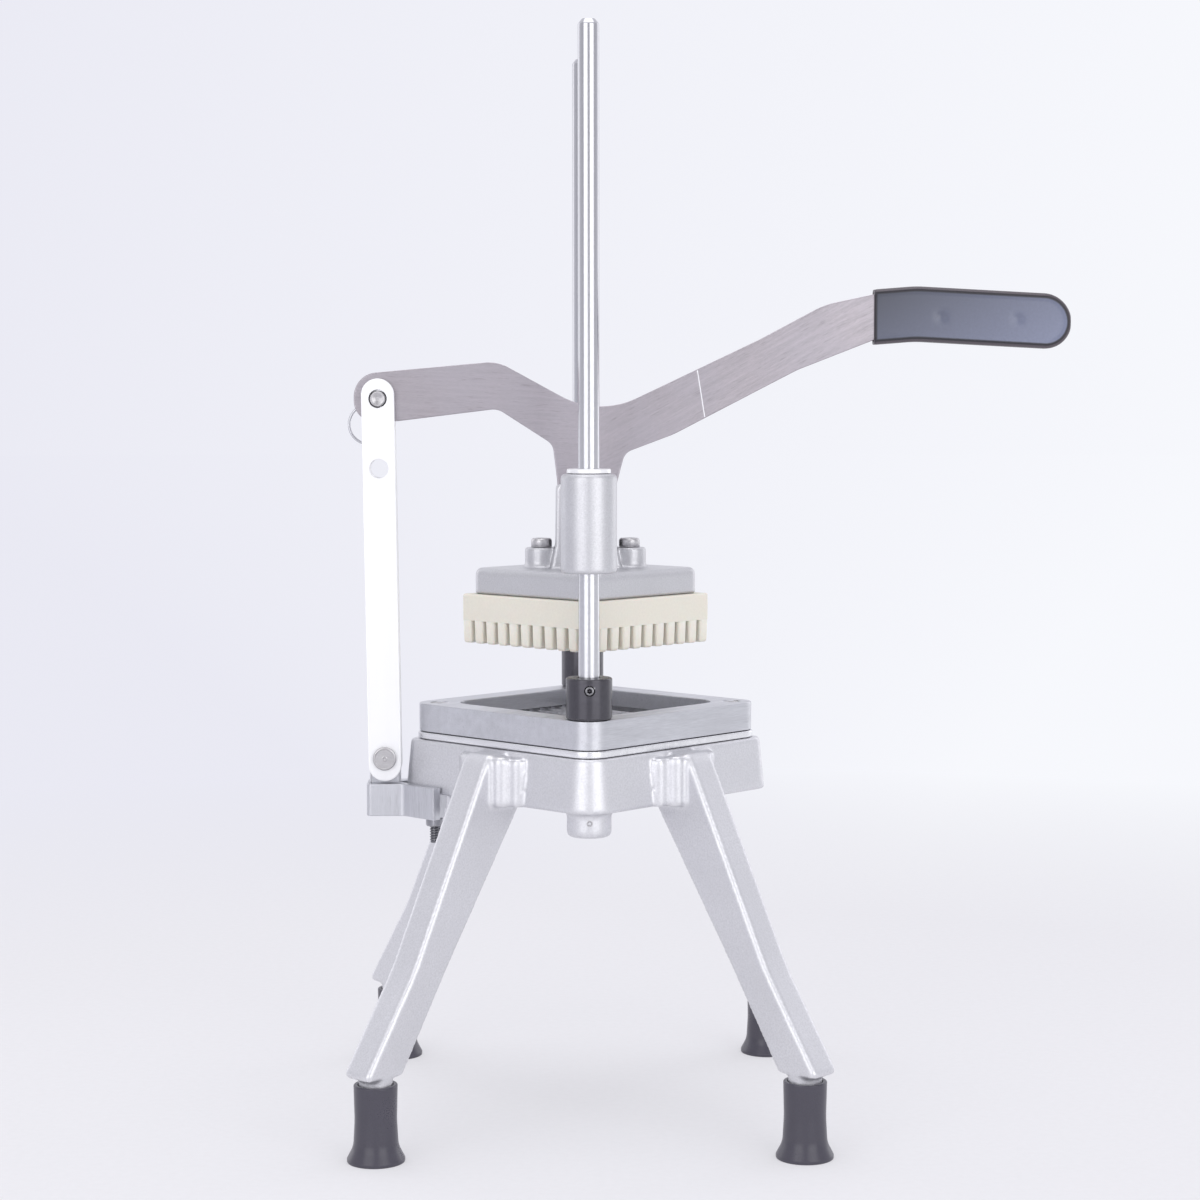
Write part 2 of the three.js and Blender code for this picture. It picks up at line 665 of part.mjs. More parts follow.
function releasePin() {
  const shank = turned([
    [0, -barOutside - 0.6],
    [PIN_RADIUS - 0.6, -barOutside - 0.6],
    [PIN_RADIUS, -barOutside],
    [PIN_RADIUS, tongueEnd],
    [0, tongueEnd],
  ]).rotateX(-Math.PI / 2);
  const tongueShape = outline([[-1.4, 0, 0], [-1.4, -7.4, 1.2], [1.4, -7.4, 1.2], [1.4, 0, 0]]);
  const tongue = slab(tongueShape, tongueStart, tongueEnd, 3);
  const hole = cylinder(RING_WIRE + 0.75, -3, 3, 10).rotateY(Math.PI / 2).translate(0, ringY, -RING_HANG);
  const clearing = box(-5, -1.4, ringY - 1.6, ringY + 1.6, -5.5, -3).toNonIndexed();
  const otherClearing = box(1.4, 5, ringY - 1.6, ringY + 1.6, -5.5, -3).toNonIndexed();
  const body = cut(join([shank, tongue]), [hole, clearing, otherClearing]);
  return geometryOf(body).rotateY(RING_LEAN).translate(leverEndX, 0, leverEndZ);
}

function pullRing() {
  const wire = new THREE.TorusGeometry(RING_RADIUS, RING_WIRE, 6, 24);
  return wire.rotateX(Math.PI / 2).translate(ringCentreX, ringY, ringCentreZ);
}

addPart('release_pin', releasePin(), steel);
addPart('pull_ring', pullRing(), brightSteel);

// ---------------------------------------------------------------- lever and grip

// The lever and grip are drawn about the lever's pivot. These are heights of the handle's middle line.
const handleRise = 99.4;
const handleCrest = 101;
const handleFall = 96.8;
const handleMiddle = 164;

function handleTop(half, tip) {
  return [[handleMiddle, handleCrest + half, 60], [tip, handleFall + half, half]];
}

function handleBottom(half, tip) {
  return [[tip, handleFall - half, half], [handleMiddle, handleCrest - half, 60]];
}

function leverPlate() {
  const [x, z, end] = [leverEndX, LEVER_END_RISE, LEVER_END_RADIUS];
  const shape = outline([
    [x - end, z - end, end],
    [x + 10, z - end + 1, 20],
    [-43.5, 54.2, 9],
    [-16.2, 36.6, 7],
    [-14.2, 20, 12],
    [-LEVER_LOBE, -LEVER_LOBE, LEVER_LOBE],
    [LEVER_LOBE, -LEVER_LOBE, LEVER_LOBE],
    [15.8, 18, 12],
    [19.6, 32.4, 7],
    [44, 41.6, 40],
    [105, 73.2, 50],
    [GRIP_START, handleRise - HANDLE_HALF, 5],
    ...handleBottom(HANDLE_HALF, HANDLE_TIP).reverse(),
    ...handleTop(HANDLE_HALF, HANDLE_TIP).reverse(),
    [GRIP_START, handleRise + HANDLE_HALF, 5],
    [119, 105.6, 40],
    [87, 88.6, 60],
    [6.4, 50.3, 42],
    [-43.5, 77.6, 20],
    [x - end, z + end, end],
  ]);
  const plate = slab(shape, -LEVER_THICKNESS / 2, LEVER_THICKNESS / 2, 5);
  return cut(solid(plate), [cylinderAlongY(PIN_RADIUS + GAP, -9, 9, leverEndX, LEVER_END_RISE)]);
}

function handleShape(start, half, tip) {
  return outline([
    [start, handleRise - half, 0],
    ...handleBottom(half, tip).reverse(),
    ...handleTop(half, tip).reverse(),
    [start, handleRise + half, 0],
  ]);
}

function grip() {
  const half = HANDLE_HALF + GAP + GRIP_WALL;
  const outerShape = handleShape(GRIP_START, half, HANDLE_TIP + GAP + GRIP_WALL);
  const innerShape = handleShape(GRIP_START, HANDLE_HALF + GAP, HANDLE_TIP + GAP);
  const outer = slab(outerShape, -GRIP_THICKNESS / 2, GRIP_THICKNESS / 2, 6);
  const room = LEVER_THICKNESS / 2 + GAP;
  const mouthHalf = HANDLE_HALF + 2 * GAP;
  const mouth = box(GRIP_START - 1, GRIP_START + 1, -room, room, handleRise - mouthHalf, handleRise + mouthHalf);
  return cut(solid(outer), [slab(innerShape, -room, room, 6), mouth]);
}

addPart('lever', geometryOf(leverPlate()), steel).position.z = pivotZ;
addPart('lever_grip', geometryOf(grip()), vinyl).position.z = pivotZ;

// ---------------------------------------------------------------- pusher head

const bushBore = ROD_RADIUS + GAP;
const bushBottom = sleeveBottom + 0.5;
const boltHoles = [-1, 1].map((side) => {
  return cylinder(HEAD_BOLT_RADIUS + GAP, headBottom - 9, headTop + BOSS_HEIGHT + 1, 12)
    .translate(side * HEAD_BOLT_OFFSET, 0, 0);
});

function headCasting() {
  const plate = diamond(headSide, HEAD_CORNER, headBottom, headTop);
  const sleeves = ends.map(([, side]) => {
    return turned([
      [0, sleeveBottom],
      [SLEEVE_RADIUS - 0.8, sleeveBottom],
      [SLEEVE_RADIUS, sleeveBottom + 0.8],
      [SLEEVE_RADIUS, sleeveTop - 1.2],
      [SLEEVE_RADIUS - 1.2, sleeveTop],
      [0, sleeveTop],
    ], 24).translate(0, side * rodOffset, 0);
  });
  const ribs = ends.map(([, side]) => {
    const shape = outline([
      [earInside + 1, headTop - 1, 0],
      [headSide / Math.SQRT2 - 8, headTop - 1, 0],
      [headSide / Math.SQRT2 - 2, sleeveBottom, 0],
      [rodOffset - 2, sleeveBottom, 0],
      [rodOffset - 2, sleeveTop - 6, 0],
      [rodOffset - 18, sleeveTop - 10, 6],
      [earOutside + 8, headTop + 24, 8],
      [earOutside, headTop + EAR_HEIGHT - 8, 0],
      [earInside + 1, headTop + EAR_HEIGHT - 8, 0],
    ]);
    return slab(shape, -RIB_WIDTH / 2, RIB_WIDTH / 2, 3).rotateZ(side * 2 * QUARTER);
  });
  const earShape = outline([
    [-EAR_HALF_WIDTH - 3, headTop - 1, 0],
    [EAR_HALF_WIDTH + 3, headTop - 1, 0],
    [EAR_HALF_WIDTH + 0.4, headTop + 12, 8],
    [EAR_HALF_WIDTH, headTop + EAR_HEIGHT, 3],
    [-EAR_HALF_WIDTH, headTop + EAR_HEIGHT, 3],
    [-EAR_HALF_WIDTH - 0.4, headTop + 12, 8],
  ]);
  const ears = [slab(earShape, -earOutside, -earInside, 3), slab(earShape, earInside, earOutside, 3)];
  const bosses = [-1, 1].map((side) => {
    return cylinder(BOSS_RADIUS, headTop - 1, headTop + BOSS_HEIGHT, 16).translate(side * HEAD_BOLT_OFFSET, 0, 0);
  });
  const whole = join([plate, ...sleeves, ...ribs, ...ears, ...bosses]);
  const bores = ends.map(([, side]) => {
    return cylinder(BUSH_RADIUS + GAP, sleeveBottom - 1, sleeveTop + 1).translate(0, side * rodOffset, 0);
  });
  const pivotHole = cylinderAlongY(PIVOT_RADIUS + GAP, -earOutside - 30, earOutside + 30, 0, pivotZ, 16);
  const nutPockets = ends.map(([, side]) => {
    const [front, back] = [side * (earOutside - 0.01), side * (earOutside + 14)].sort((a, b) => a - b);
    return cylinderAlongY(8, front, back, 0, pivotZ, 12);
  });
  return cut(whole, [...bores, ...boltHoles, pivotHole, ...nutPockets]);
}

function bush(side) {
  return turned([
    [bushBore, bushBottom],
    [BUSH_RADIUS, bushBottom],
    [BUSH_RADIUS, sleeveTop + GAP],
    [BUSH_FLANGE_RADIUS, sleeveTop + GAP],
    [BUSH_FLANGE_RADIUS, sleeveTop + GAP + BUSH_FLANGE],
    [bushBore, sleeveTop + GAP + BUSH_FLANGE],
    [bushBore, bushBottom],
  ], 24).translate(0, side * rodOffset, 0);
}

function pusher() {
  const corner = 1.5;
  const body = solid(prism(square(pusherSide, corner), toothBottom, pusherTop, 3));
  const slots = [];
  const half = pusherSide / 2 + 1;
  for (let i = 0; i < BLADES; i += 1) {
    const middle = (i - (BLADES - 1) / 2) * BLADE_PITCH;
    const [low, high] = [middle - TOOTH_SLOT / 2, middle + TOOTH_SLOT / 2];
    slots.push(box(-half, half, low, high, toothBottom - 1, pusherBottom));
    slots.push(box(low, high, -half, half, toothBottom - 1, pusherBottom));
  }
  const bolts = [-1, 1].map((side) => {
    const hole = cylinder(HEAD_BOLT_RADIUS + GAP, pusherBottom + 2, pusherTop + 1, 12);
    return hole.translate(side * HEAD_BOLT_OFFSET, 0, 0).rotateZ(-QUARTER);
  });
  return geometryOf(cut(body, [...slots, ...bolts])).rotateZ(QUARTER);
}

function headBolt() {
  const headLow = headTop + BOSS_HEIGHT + GAP;
  const shank = cylinder(HEAD_BOLT_RADIUS, pusherBottom + 3, headLow + 1, 12);
  const head = turned([[0, headLow], [5.2, headLow], [5.2, headLow + 3.6], [4.5, headLow + 4.3], [0, headLow + 4.3]], 6);
  return geometryOf(join([shank, head]));
}

// Half of the lever's pivot bolt: it fills its ear and stops short of the lever.
function pivotStub(side) {
  const stub = [[0, earInside + GAP], [PIVOT_RADIUS, earInside + GAP], [PIVOT_RADIUS, earOutside + GAP]];
  const head = [[6.5, earOutside + GAP], [6.5, earOutside + 4], [5.7, earOutside + 4.8], [0, earOutside + 4.8]];
  const half = turnedAlongY([...stub, ...head], 0, pivotZ, 12);
  return side > 0 ? half : half.rotateZ(Math.PI);
}

addPart('head_casting', geometryOf(headCasting()), castAluminium);
addPart('pusher_block', pusher(), ivoryPlastic);
['left', 'right'].forEach((name, i) => {
  addPart(`head_bolt_${name}`, headBolt(), steel).position.x = (2 * i - 1) * HEAD_BOLT_OFFSET;
});
for (const [name, side] of ends) {
  addPart(`rod_bush_${name}`, bush(side), ivoryPlastic);
  addPart(`lever_pivot_${name}`, pivotStub(side), steel);
}

// ---------------------------------------------------------------- whole model

const bounds = new THREE.Box3().setFromObject(inner, true);
inner.position.x = -(bounds.min.x + bounds.max.x) / 2;
inner.position.y = -(bounds.min.y + bounds.max.y) / 2;

const dicer = new THREE.Group();
dicer.add(inner);

export default dicer;
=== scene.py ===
"""Builds the finished look of a bench-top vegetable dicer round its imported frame."""
import math

import bmesh
import bpy
import numpy as np
from bpy.props import FloatProperty, FloatVectorProperty, IntProperty, PointerProperty
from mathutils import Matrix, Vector
from mathutils.geometry import tessellate_polygon


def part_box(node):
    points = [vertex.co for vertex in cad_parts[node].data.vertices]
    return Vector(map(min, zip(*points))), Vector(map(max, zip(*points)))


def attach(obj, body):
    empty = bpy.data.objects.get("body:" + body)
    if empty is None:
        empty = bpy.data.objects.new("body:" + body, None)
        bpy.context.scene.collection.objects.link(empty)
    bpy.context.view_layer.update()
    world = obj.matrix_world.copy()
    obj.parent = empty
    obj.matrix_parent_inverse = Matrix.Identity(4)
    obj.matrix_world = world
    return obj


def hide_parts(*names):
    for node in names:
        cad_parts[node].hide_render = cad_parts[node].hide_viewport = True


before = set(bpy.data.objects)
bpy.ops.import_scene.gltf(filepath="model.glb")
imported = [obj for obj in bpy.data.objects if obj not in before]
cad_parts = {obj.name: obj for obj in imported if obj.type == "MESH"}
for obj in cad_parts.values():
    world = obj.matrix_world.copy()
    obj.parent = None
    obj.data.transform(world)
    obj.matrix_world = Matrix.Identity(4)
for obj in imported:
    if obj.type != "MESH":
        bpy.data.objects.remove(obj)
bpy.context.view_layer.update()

bl_info = {
    "name": "Vegetable dicer",
    "version": (1, 0, 0),
    "blender": (4, 5, 0),
    "location": "3D View > Sidebar > Dicer",
    "description": "Builds a bench-top lever dicer piece by piece round its packed frame",
    "category": "Add Mesh",
}

MM = 0.001  # shapes are worked out in millimetres and stored in metres
ENDS = (("front", -1), ("rear", 1))
WIDE_LEADS = (0.25, 0.7, 1.2)  # straight rows that keep an edge's wear off a wide flat face
NO_HEX = 1e6  # a hexagon so large that it never trims a turned row


def span(node):
    """Lowest and highest corner of a frame node, in millimetres."""
    low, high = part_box(node)
    return np.array(low) / MM, np.array(high) / MM


def middle(node):
    low, high = span(node)
    return (low + high) / 2


def depths(node, side):
    """A node's two ends along Y, the inner one first; side is -1 in front and 1 at the rear."""
    return sorted((span(node)[0][1], span(node)[1][1]), key=lambda y: side * y)


AXIS_X = middle("guide_rod_front")[0]  # the cutting axis stands at this X, and at Y = 0
BASE_TOP = span("base_casting")[1][2]
RING_BOTTOM = BASE_TOP - 26
RING_HALF = 63.4  # half side of the ring at its top
RING_FLARE = 2.6
RING_CORNERS = (6, 11.9, 6, 11.9)
THROAT_HALF = 48.25
THROAT_CORNER = 12
HEAD_BOTTOM = span("head_casting")[0][2]
HEAD_TOP = HEAD_BOTTOM + 12.7
PIVOT_Z = middle("lever_pivot_front")[2]
TURN = math.pi / 4  # the square parts stand corner on


# ---------------------------------------------------------------- sizes and colours


def length_property(name, description, default, low, high):
    return FloatProperty(
        name=name, description=description, default=default, min=low, max=high, unit="LENGTH", precision=5
    )


def colour_property(name, description, default):
    return FloatVectorProperty(
        name=name, description=description, default=default, min=0, max=1, size=3, subtype="COLOR"
    )


class DicerSizes(bpy.types.PropertyGroup):
    """Sizes of the fine shape, in metres."""

    casting_detail: length_property(
        "Casting detail", "Size of the cells that the castings are built from", 0.0011, 0.0008, 0.004
    )
    head_detail: length_property(
        "Head detail", "Size of the cells that the head casting is built from", 0.0008, 0.0006, 0.004
    )
    casting_passes: IntProperty(
        name="Casting passes", description="Smoothing passes that round a casting's edges",
        default=10, min=0, max=30,
    )
    machined_edge: length_property(
        "Machined edge", "Rounding of machined and sawn edges", 0.0005, 0.0001, 0.001
    )
    leg_edge: length_property("Leg edge", "Rounding of a leg's long edges", 0.0021, 0.0005, 0.004)
    head_edge: length_property("Head edge", "Rounding of the head plate's top edge", 0.0033, 0.0005, 0.005)
    tooth_pitch: length_property(
        "Tooth pitch", "Distance between the middles of two pusher teeth", 0.00809, 0.004, 0.02
    )
    tooth_slot: length_property("Tooth slot", "Slot between two pusher teeth", 0.002, 0.001, 0.006)
    thread_pitch: length_property(
        "Thread pitch", "Rise of the stud thread in one turn", 0.0013, 0.0005, 0.003
    )
    grip_rim: length_property("Grip rim", "Width of the rounded rim of the grip", 0.0022, 0.001, 0.004)
    ring_wire: length_property("Ring wire", "Thickness of the pull ring's wire", 0.0014, 0.0008, 0.003)


class DicerColours(bpy.types.PropertyGroup):
    """Colours of the finishes."""

    cast_aluminium: colour_property("Cast aluminium", "Tumbled castings", (0.66, 0.66, 0.685))
    machined_aluminium: colour_property("Machined aluminium", "Blade frame and bracket", (0.63, 0.635, 0.67))
    polished_steel: colour_property("Polished steel", "Plate of the cartridge", (0.86, 0.86, 0.88))
    rod_steel: colour_property("Rod steel", "Guide rods and pull ring", (0.60, 0.60, 0.63))
    link_steel: colour_property("Link steel", "Link bars", (0.95, 0.95, 0.96))
    lever_steel: colour_property("Lever steel", "Brushed lever", (0.47, 0.435, 0.465))
    fastener_steel: colour_property("Fastener steel", "Screws, nuts, pins and rivets", (0.55, 0.54, 0.55))
    nut_steel: colour_property("Nut steel", "Nuts on the bracket's studs", (0.30, 0.30, 0.33))
    stud_steel: colour_property("Stud steel", "Threaded studs", (0.20, 0.20, 0.22))
    blade_steel: colour_property("Blade steel", "Ground blades", (0.24, 0.24, 0.26))
    black_oxide: colour_property("Black oxide", "Rod collars", (0.085, 0.082, 0.095))
    ivory_plastic: colour_property("Ivory plastic", "Pusher block", (0.78, 0.745, 0.65))
    rubber: colour_property("Rubber", "Feet", (0.068, 0.064, 0.085))
    vinyl: colour_property("Vinyl", "Dipped grip", (0.090, 0.101, 0.155))
    floor: colour_property("Floor", "Pale studio floor", (0.80, 0.80, 0.84))


def sizes():
    return bpy.context.scene.dicer_sizes


def colours():
    return bpy.context.scene.dicer_colours


# ---------------------------------------------------------------- outlines


def unit(vectors):
    """Rows scaled to length one; rows of no length stay as they are."""
    return vectors / np.maximum(np.hypot(*vectors.T), 1e-12)[:, None]


def rounded(corners, steps=10, closed=True):
    """Outline through corners (x, y, radius), each replaced by an arc.
    The arc's centre lies on the corner's bisector, at radius / sin(half the corner's angle), and
    its ends lie radius / tan(half angle) along the two sides. An arc that has no room is shrunk."""
    corners = np.array([list(c) + [0] * (3 - len(c)) for c in corners], float)
    here, radius = corners[:, :2], corners[:, 2]
    before, after = np.roll(here, 1, 0) - here, np.roll(here, -1, 0) - here
    room = 0.499 * np.minimum(np.hypot(*before.T), np.hypot(*after.T))
    before, after = unit(before), unit(after)
    half = np.clip(np.arccos(np.clip((before * after).sum(1), -1, 1)) / 2, 1e-3, math.pi / 2 - 1e-5)
    run = np.minimum(radius / np.tan(half), room)
    arc = run * np.tan(half)
    centre = here + unit(before + after) * (arc / np.sin(half))[:, None]
    start, end = here + before * run[:, None] - centre, here + after * run[:, None] - centre
    first = np.arctan2(start[:, 1], start[:, 0])
    turn = np.arctan2(end[:, 1], end[:, 0]) - first
    turn = (turn + math.pi) % (2 * math.pi) - math.pi
    angle = first[:, None] + turn[:, None] * np.linspace(0, 1, steps)
    arcs = centre[:, None] + arc[:, None, None] * np.stack([np.cos(angle), np.sin(angle)], 2)
    if not closed:
        return np.vstack([here[:1], arcs[1:-1].reshape(-1, 2), here[-1:]])
    points = arcs.reshape(-1, 2)
    return points[np.hypot(*(np.roll(points, -1, 0) - points).T) > 1e-5]


def circle(radius, x=0.0, y=0.0, steps=48):
    angle = np.linspace(0, 2 * math.pi, steps, endpoint=False)
    return np.column_stack([x + radius * np.cos(angle), y + radius * np.sin(angle)])


def diamond(half, radii, steps=12):
    """Square of a half side, standing on its corner about the cutting axis.
    The radii belong to its left, front, right and rear corner."""
    left, front, right, rear = radii
    corners = [(-half, half, left), (-half, -half, front), (half, -half, right), (half, half, rear)]
    u, v = rounded(corners, steps).T
    cos, sin = math.cos(TURN), math.sin(TURN)
    return np.column_stack([AXIS_X + u * cos - v * sin, u * sin + v * cos])


def grown(loop, amounts):
    """The closed outline moved outwards by each amount: one row of points for each.
    A point moves along the sum of its two sides' normals, divided by one plus their product."""
    ahead = unit(np.roll(loop, -1, 0) - loop)
    normal = np.column_stack([ahead[:, 1], -ahead[:, 0]])
    following = np.roll(loop, -1, 0)
    if (loop[:, 0] * following[:, 1] - loop[:, 1] * following[:, 0]).sum() < 0:
        normal = -normal
    other = np.roll(normal, 1, 0)
    move = (normal + other) / (1 + (normal * other).sum(1))[:, None]
    return loop[None] + np.asarray(amounts, float)[:, None, None] * move[None]


# ---------------------------------------------------------------- surfaces


def edged(low, high, edge, top_edge=None, steps=5, side=1, leads=(0.25,)):
    """Profile of a wall from high to low, as rows (growth, height). Each end is a quarter circle:
    growth = -edge (1 - sin t) and depth = edge (1 - cos t). Straight rows stand beside it."""
    top_edge = edge if top_edge is None else top_edge
    t = np.linspace(0, math.pi / 2, steps)
    upper = np.column_stack([-top_edge * (1 - np.sin(t)), high - top_edge * (1 - np.cos(t))])
    lower = np.column_stack([-edge * (1 - np.sin(t)), low + edge * (1 - np.cos(t))])[::-1]
    above = [[-top_edge - lead, high] for lead in leads[::-1]]
    below = [[-edge - lead, low] for lead in leads]
    rows = np.vstack([above, upper, lower, below])
    return rows * [side, 1]


def upright(u, v, w):
    """An outline drawn in plan, with heights along Z."""
    return np.stack([u, v, w], -1)


def across(u, v, w):
    """An outline drawn in the XZ plane, with depths along Y."""
    return np.stack([u, w, v], -1)


def lengthwise(u, v, w):
    """An outline drawn in the YZ plane, with widths along X."""
    return np.stack([w, u, v], -1)


def wall(loop, profile, place=upright):
    """Grid of an outline carried up a profile of (growth, height) rows."""
    profile = np.asarray(profile, float)
    rows = grown(loop, profile[:, 0])
    return place(rows[..., 0], rows[..., 1], np.broadcast_to(profile[:, 1:], rows.shape[:2]))


def grid_faces(rows, columns):
    """Four-sided faces of a grid that closes on itself along its columns."""
    row, column = np.meshgrid(np.arange(rows - 1), np.arange(columns), indexing="ij")
    here = row * columns + column
    beside = row * columns + (column + 1) % columns
    return np.stack([here, beside, beside + columns, here + columns], -1).reshape(-1, 4)


def plate(walls):
    """Closed body between walls: the first is its outside and the others its holes.
    Both ends are flat faces between the walls' end rows."""
    faces, firsts, lasts, count = [], [], [], 0
    for grid in walls:
        rows, columns = grid.shape[:2]
        faces += (grid_faces(rows, columns) + count).tolist()
        firsts.append(count + np.arange(columns))
        lasts.append(count + (rows - 1) * columns + np.arange(columns))
        count += rows * columns
    points = np.vstack([grid.reshape(-1, 3) for grid in walls])
    for loops in (firsts, lasts):
        order = np.concatenate(loops)
        corners = tessellate_polygon([[Vector(points[i]) for i in loop] for loop in loops])
        faces += [[int(order[i]) for i in corner] for corner in corners]
    return points, faces


def turned(profile, x=0.0, y=0.0, along="Z", segments=64, hexes=None):
    """Body turned about a line through (x, y), from (radius, height) rows.
    Each row's radius is the lesser of its own and a hexagon's: flat / cos(angle from the nearest flat)."""
    profile = np.asarray(profile, float)
    angle = np.linspace(0, 2 * math.pi, segments, endpoint=False)
    flats = np.full(len(profile), NO_HEX) if hexes is None else np.asarray(hexes, float)
    facet = (angle + math.pi / 6) % (math.pi / 3) - math.pi / 6
    radius = np.minimum(profile[:, :1], flats[:, None] / np.cos(facet))
    height = np.broadcast_to(profile[:, 1:2], radius.shape)
    u, v = x + radius * np.cos(angle), y + radius * np.sin(angle)
    grid = {"Z": upright, "Y": across}[along](u, v, height)
    return grid.reshape(-1, 3), grid_faces(*radius.shape).tolist()


def lathe(corners, x=0.0, y=0.0, along="Z", segments=64, steps=5):
    """Turned body whose profile is an open run of corners (radius, height, rounding)."""
    return turned(rounded(corners, steps, closed=False), x, y, along, segments)


def moved(part, turn=0.0, shift=(0, 0, 0)):
    """A body turned about Z and then shifted."""
    points, faces = part
    cos, sin = math.cos(turn), math.sin(turn)
    matrix = np.array([[cos, -sin, 0], [sin, cos, 0], [0, 0, 1]])
    return points @ matrix.T + shift, faces


def mesh_of(name, parts):
    """One mesh in metres from several closed bodies, its doubles merged and its faces outwards."""
    points, faces, count = [], [], 0
    for part_points, part_faces in parts:
        points.append(part_points)
        faces += [[i + count for i in face] for face in part_faces]
        count += len(part_points)
    mesh = bpy.data.meshes.new(name)
    mesh.from_pydata((np.vstack(points) * MM).tolist(), [], faces)
    work = bmesh.new()
    work.from_mesh(mesh)
    bmesh.ops.remove_doubles(work, verts=work.verts, dist=2e-6)
    bmesh.ops.recalc_face_normals(work, faces=work.faces)
    work.to_mesh(mesh)
    work.free()
    return mesh


def smooth_by_area(mesh):
    """Smooth shading in which large flat faces stay flat: a corner's normal is the sum of its
    faces' normals, each times its area."""
    normals = np.zeros(len(mesh.polygons) * 3, np.float32)
    areas = np.zeros(len(mesh.polygons), np.float32)
    sides = np.zeros(len(mesh.polygons), np.int32)
    corners = np.zeros(len(mesh.loops), np.int32)
    mesh.polygons.foreach_get("normal", normals)
    mesh.polygons.foreach_get("area", areas)
    mesh.polygons.foreach_get("loop_total", sides)
    mesh.loops.foreach_get("vertex_index", corners)
    weighted = np.repeat(normals.reshape(-1, 3) * areas[:, None], sides, axis=0)
    total = np.stack([np.bincount(corners, weighted[:, i], len(mesh.vertices)) for i in range(3)], 1)
    total /= np.maximum(np.linalg.norm(total, axis=1), 1e-20)[:, None]
    mesh.shade_smooth()
    mesh.normals_split_custom_set_from_vertices(total.tolist())


def settle(piece, body, nodes, material):
    """Gives a piece its finish, ties it to its body and lets it stand for its frame nodes."""
    if not len(piece.data.polygons):
        raise RuntimeError(f"{piece.name} has no faces")
    piece.data.materials.clear()
    piece.data.materials.append(material)
    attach(piece, body)
    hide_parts(*nodes)
    return piece


def add_piece(name, parts, body, nodes, material):
    """Makes a hard piece from closed bodies."""
    piece = bpy.data.objects.new(name, mesh_of(name, parts))
    bpy.context.scene.collection.objects.link(piece)
    smooth_by_area(piece.data)
    return settle(piece, body, nodes, material)


def bake(piece):
    """Gives an object the mesh that its modifiers make, and takes them away."""
    shaped = piece.evaluated_get(bpy.context.evaluated_depsgraph_get())
    piece.data = bpy.data.meshes.new_from_object(shaped)
    piece.modifiers.clear()


def add_casting(name, parts, body, nodes, material, cell, passes):
    """Makes a casting: its bodies are grown together on a grid of cells, and its edges rounded.
    Each pass moves every point half way to the mean of its neighbours and then back a little more."""
    piece = bpy.data.objects.new(name, mesh_of(name, parts))
    bpy.context.scene.collection.objects.link(piece)
    grow = piece.modifiers.new("grown together", "REMESH")
    grow.mode = "VOXEL"
    grow.voxel_size = cell * 1
    bpy.context.view_layer.update()
    rough = piece.data
    bake(piece)
    bpy.data.meshes.remove(rough)
    mesh = piece.data
    mesh.name = name
    count = len(mesh.vertices)
    places = np.zeros(count * 3, np.float32)
    pairs = np.zeros(len(mesh.edges) * 2, np.int32)
    mesh.vertices.foreach_get("co", places)
    mesh.edges.foreach_get("vertices", pairs)
    places, pairs = places.reshape(-1, 3).astype(float), pairs.reshape(-1, 2)
    ends, others = np.concatenate([pairs[:, 0], pairs[:, 1]]), np.concatenate([pairs[:, 1], pairs[:, 0]])
    neighbours = np.maximum(np.bincount(ends, minlength=count), 1)[:, None]
    for share in [0.5, -0.52] * passes:
        total = np.stack([np.bincount(ends, places[others, i], count) for i in range(3)], 1)
        places += share * (total / neighbours - places)
    mesh.vertices.foreach_set("co", places.astype(np.float32).ravel())
    mesh.update()
    mesh.shade_smooth()
    return settle(piece, body, nodes, material)


# ---------------------------------------------------------------- finishes


class Wiring:
    """Short way to add nodes to a tree and to link them."""

    def __init__(self, tree):
        self.tree = tree

    def add(self, kind, inputs=None, **settings):
        made = self.tree.nodes.new(kind)
        for key, value in settings.items():
            setattr(made, key, value)
        for key, value in (inputs or {}).items():
            if isinstance(value, bpy.types.NodeSocket):
                self.tree.links.new(value, made.inputs[key])
            else:
                made.inputs[key].default_value = value
        return made

    def noise(self, vector, scale, detail=2.0, rough=0.5):
        inputs = {"Vector": vector, "Scale": scale, "Detail": detail, "Roughness": rough}
        return self.add("ShaderNodeTexNoise", inputs).outputs[0]

    def math(self, operation, first, second=0.0):
        return self.add("ShaderNodeMath", {0: first, 1: second}, operation=operation).outputs[0]

    def times(self, first, second):
        return self.math("MULTIPLY", first, second)

    def plus(self, first, second):
        return self.math("ADD", first, second)

    def minus(self, first, second):
        return self.math("SUBTRACT", first, second)

    def link(self, source, target):
        self.tree.links.new(source, target)

    def spread(self, value, low, high, to_low=0.0, to_high=1.0):
        """A value between low and high, stretched to lie between two others."""
        inputs = {"Value": value, "From Min": low, "From Max": high, "To Min": to_low, "To Max": to_high}
        return self.add("ShaderNodeMapRange", inputs).outputs[0]

    def blend(self, share, first, second):
        """Colour between two colours."""
        return self.add("ShaderNodeMix", {0: share, 6: first, 7: second}, data_type="RGBA").outputs[2]

    def turned(self, vector, turn):
        return self.add("ShaderNodeMapping", {"Vector": vector, "Rotation": turn}).outputs[0]

    def group(self, name, **inputs):
        return self.add("ShaderNodeGroup", inputs, node_tree=bpy.data.node_groups[name])


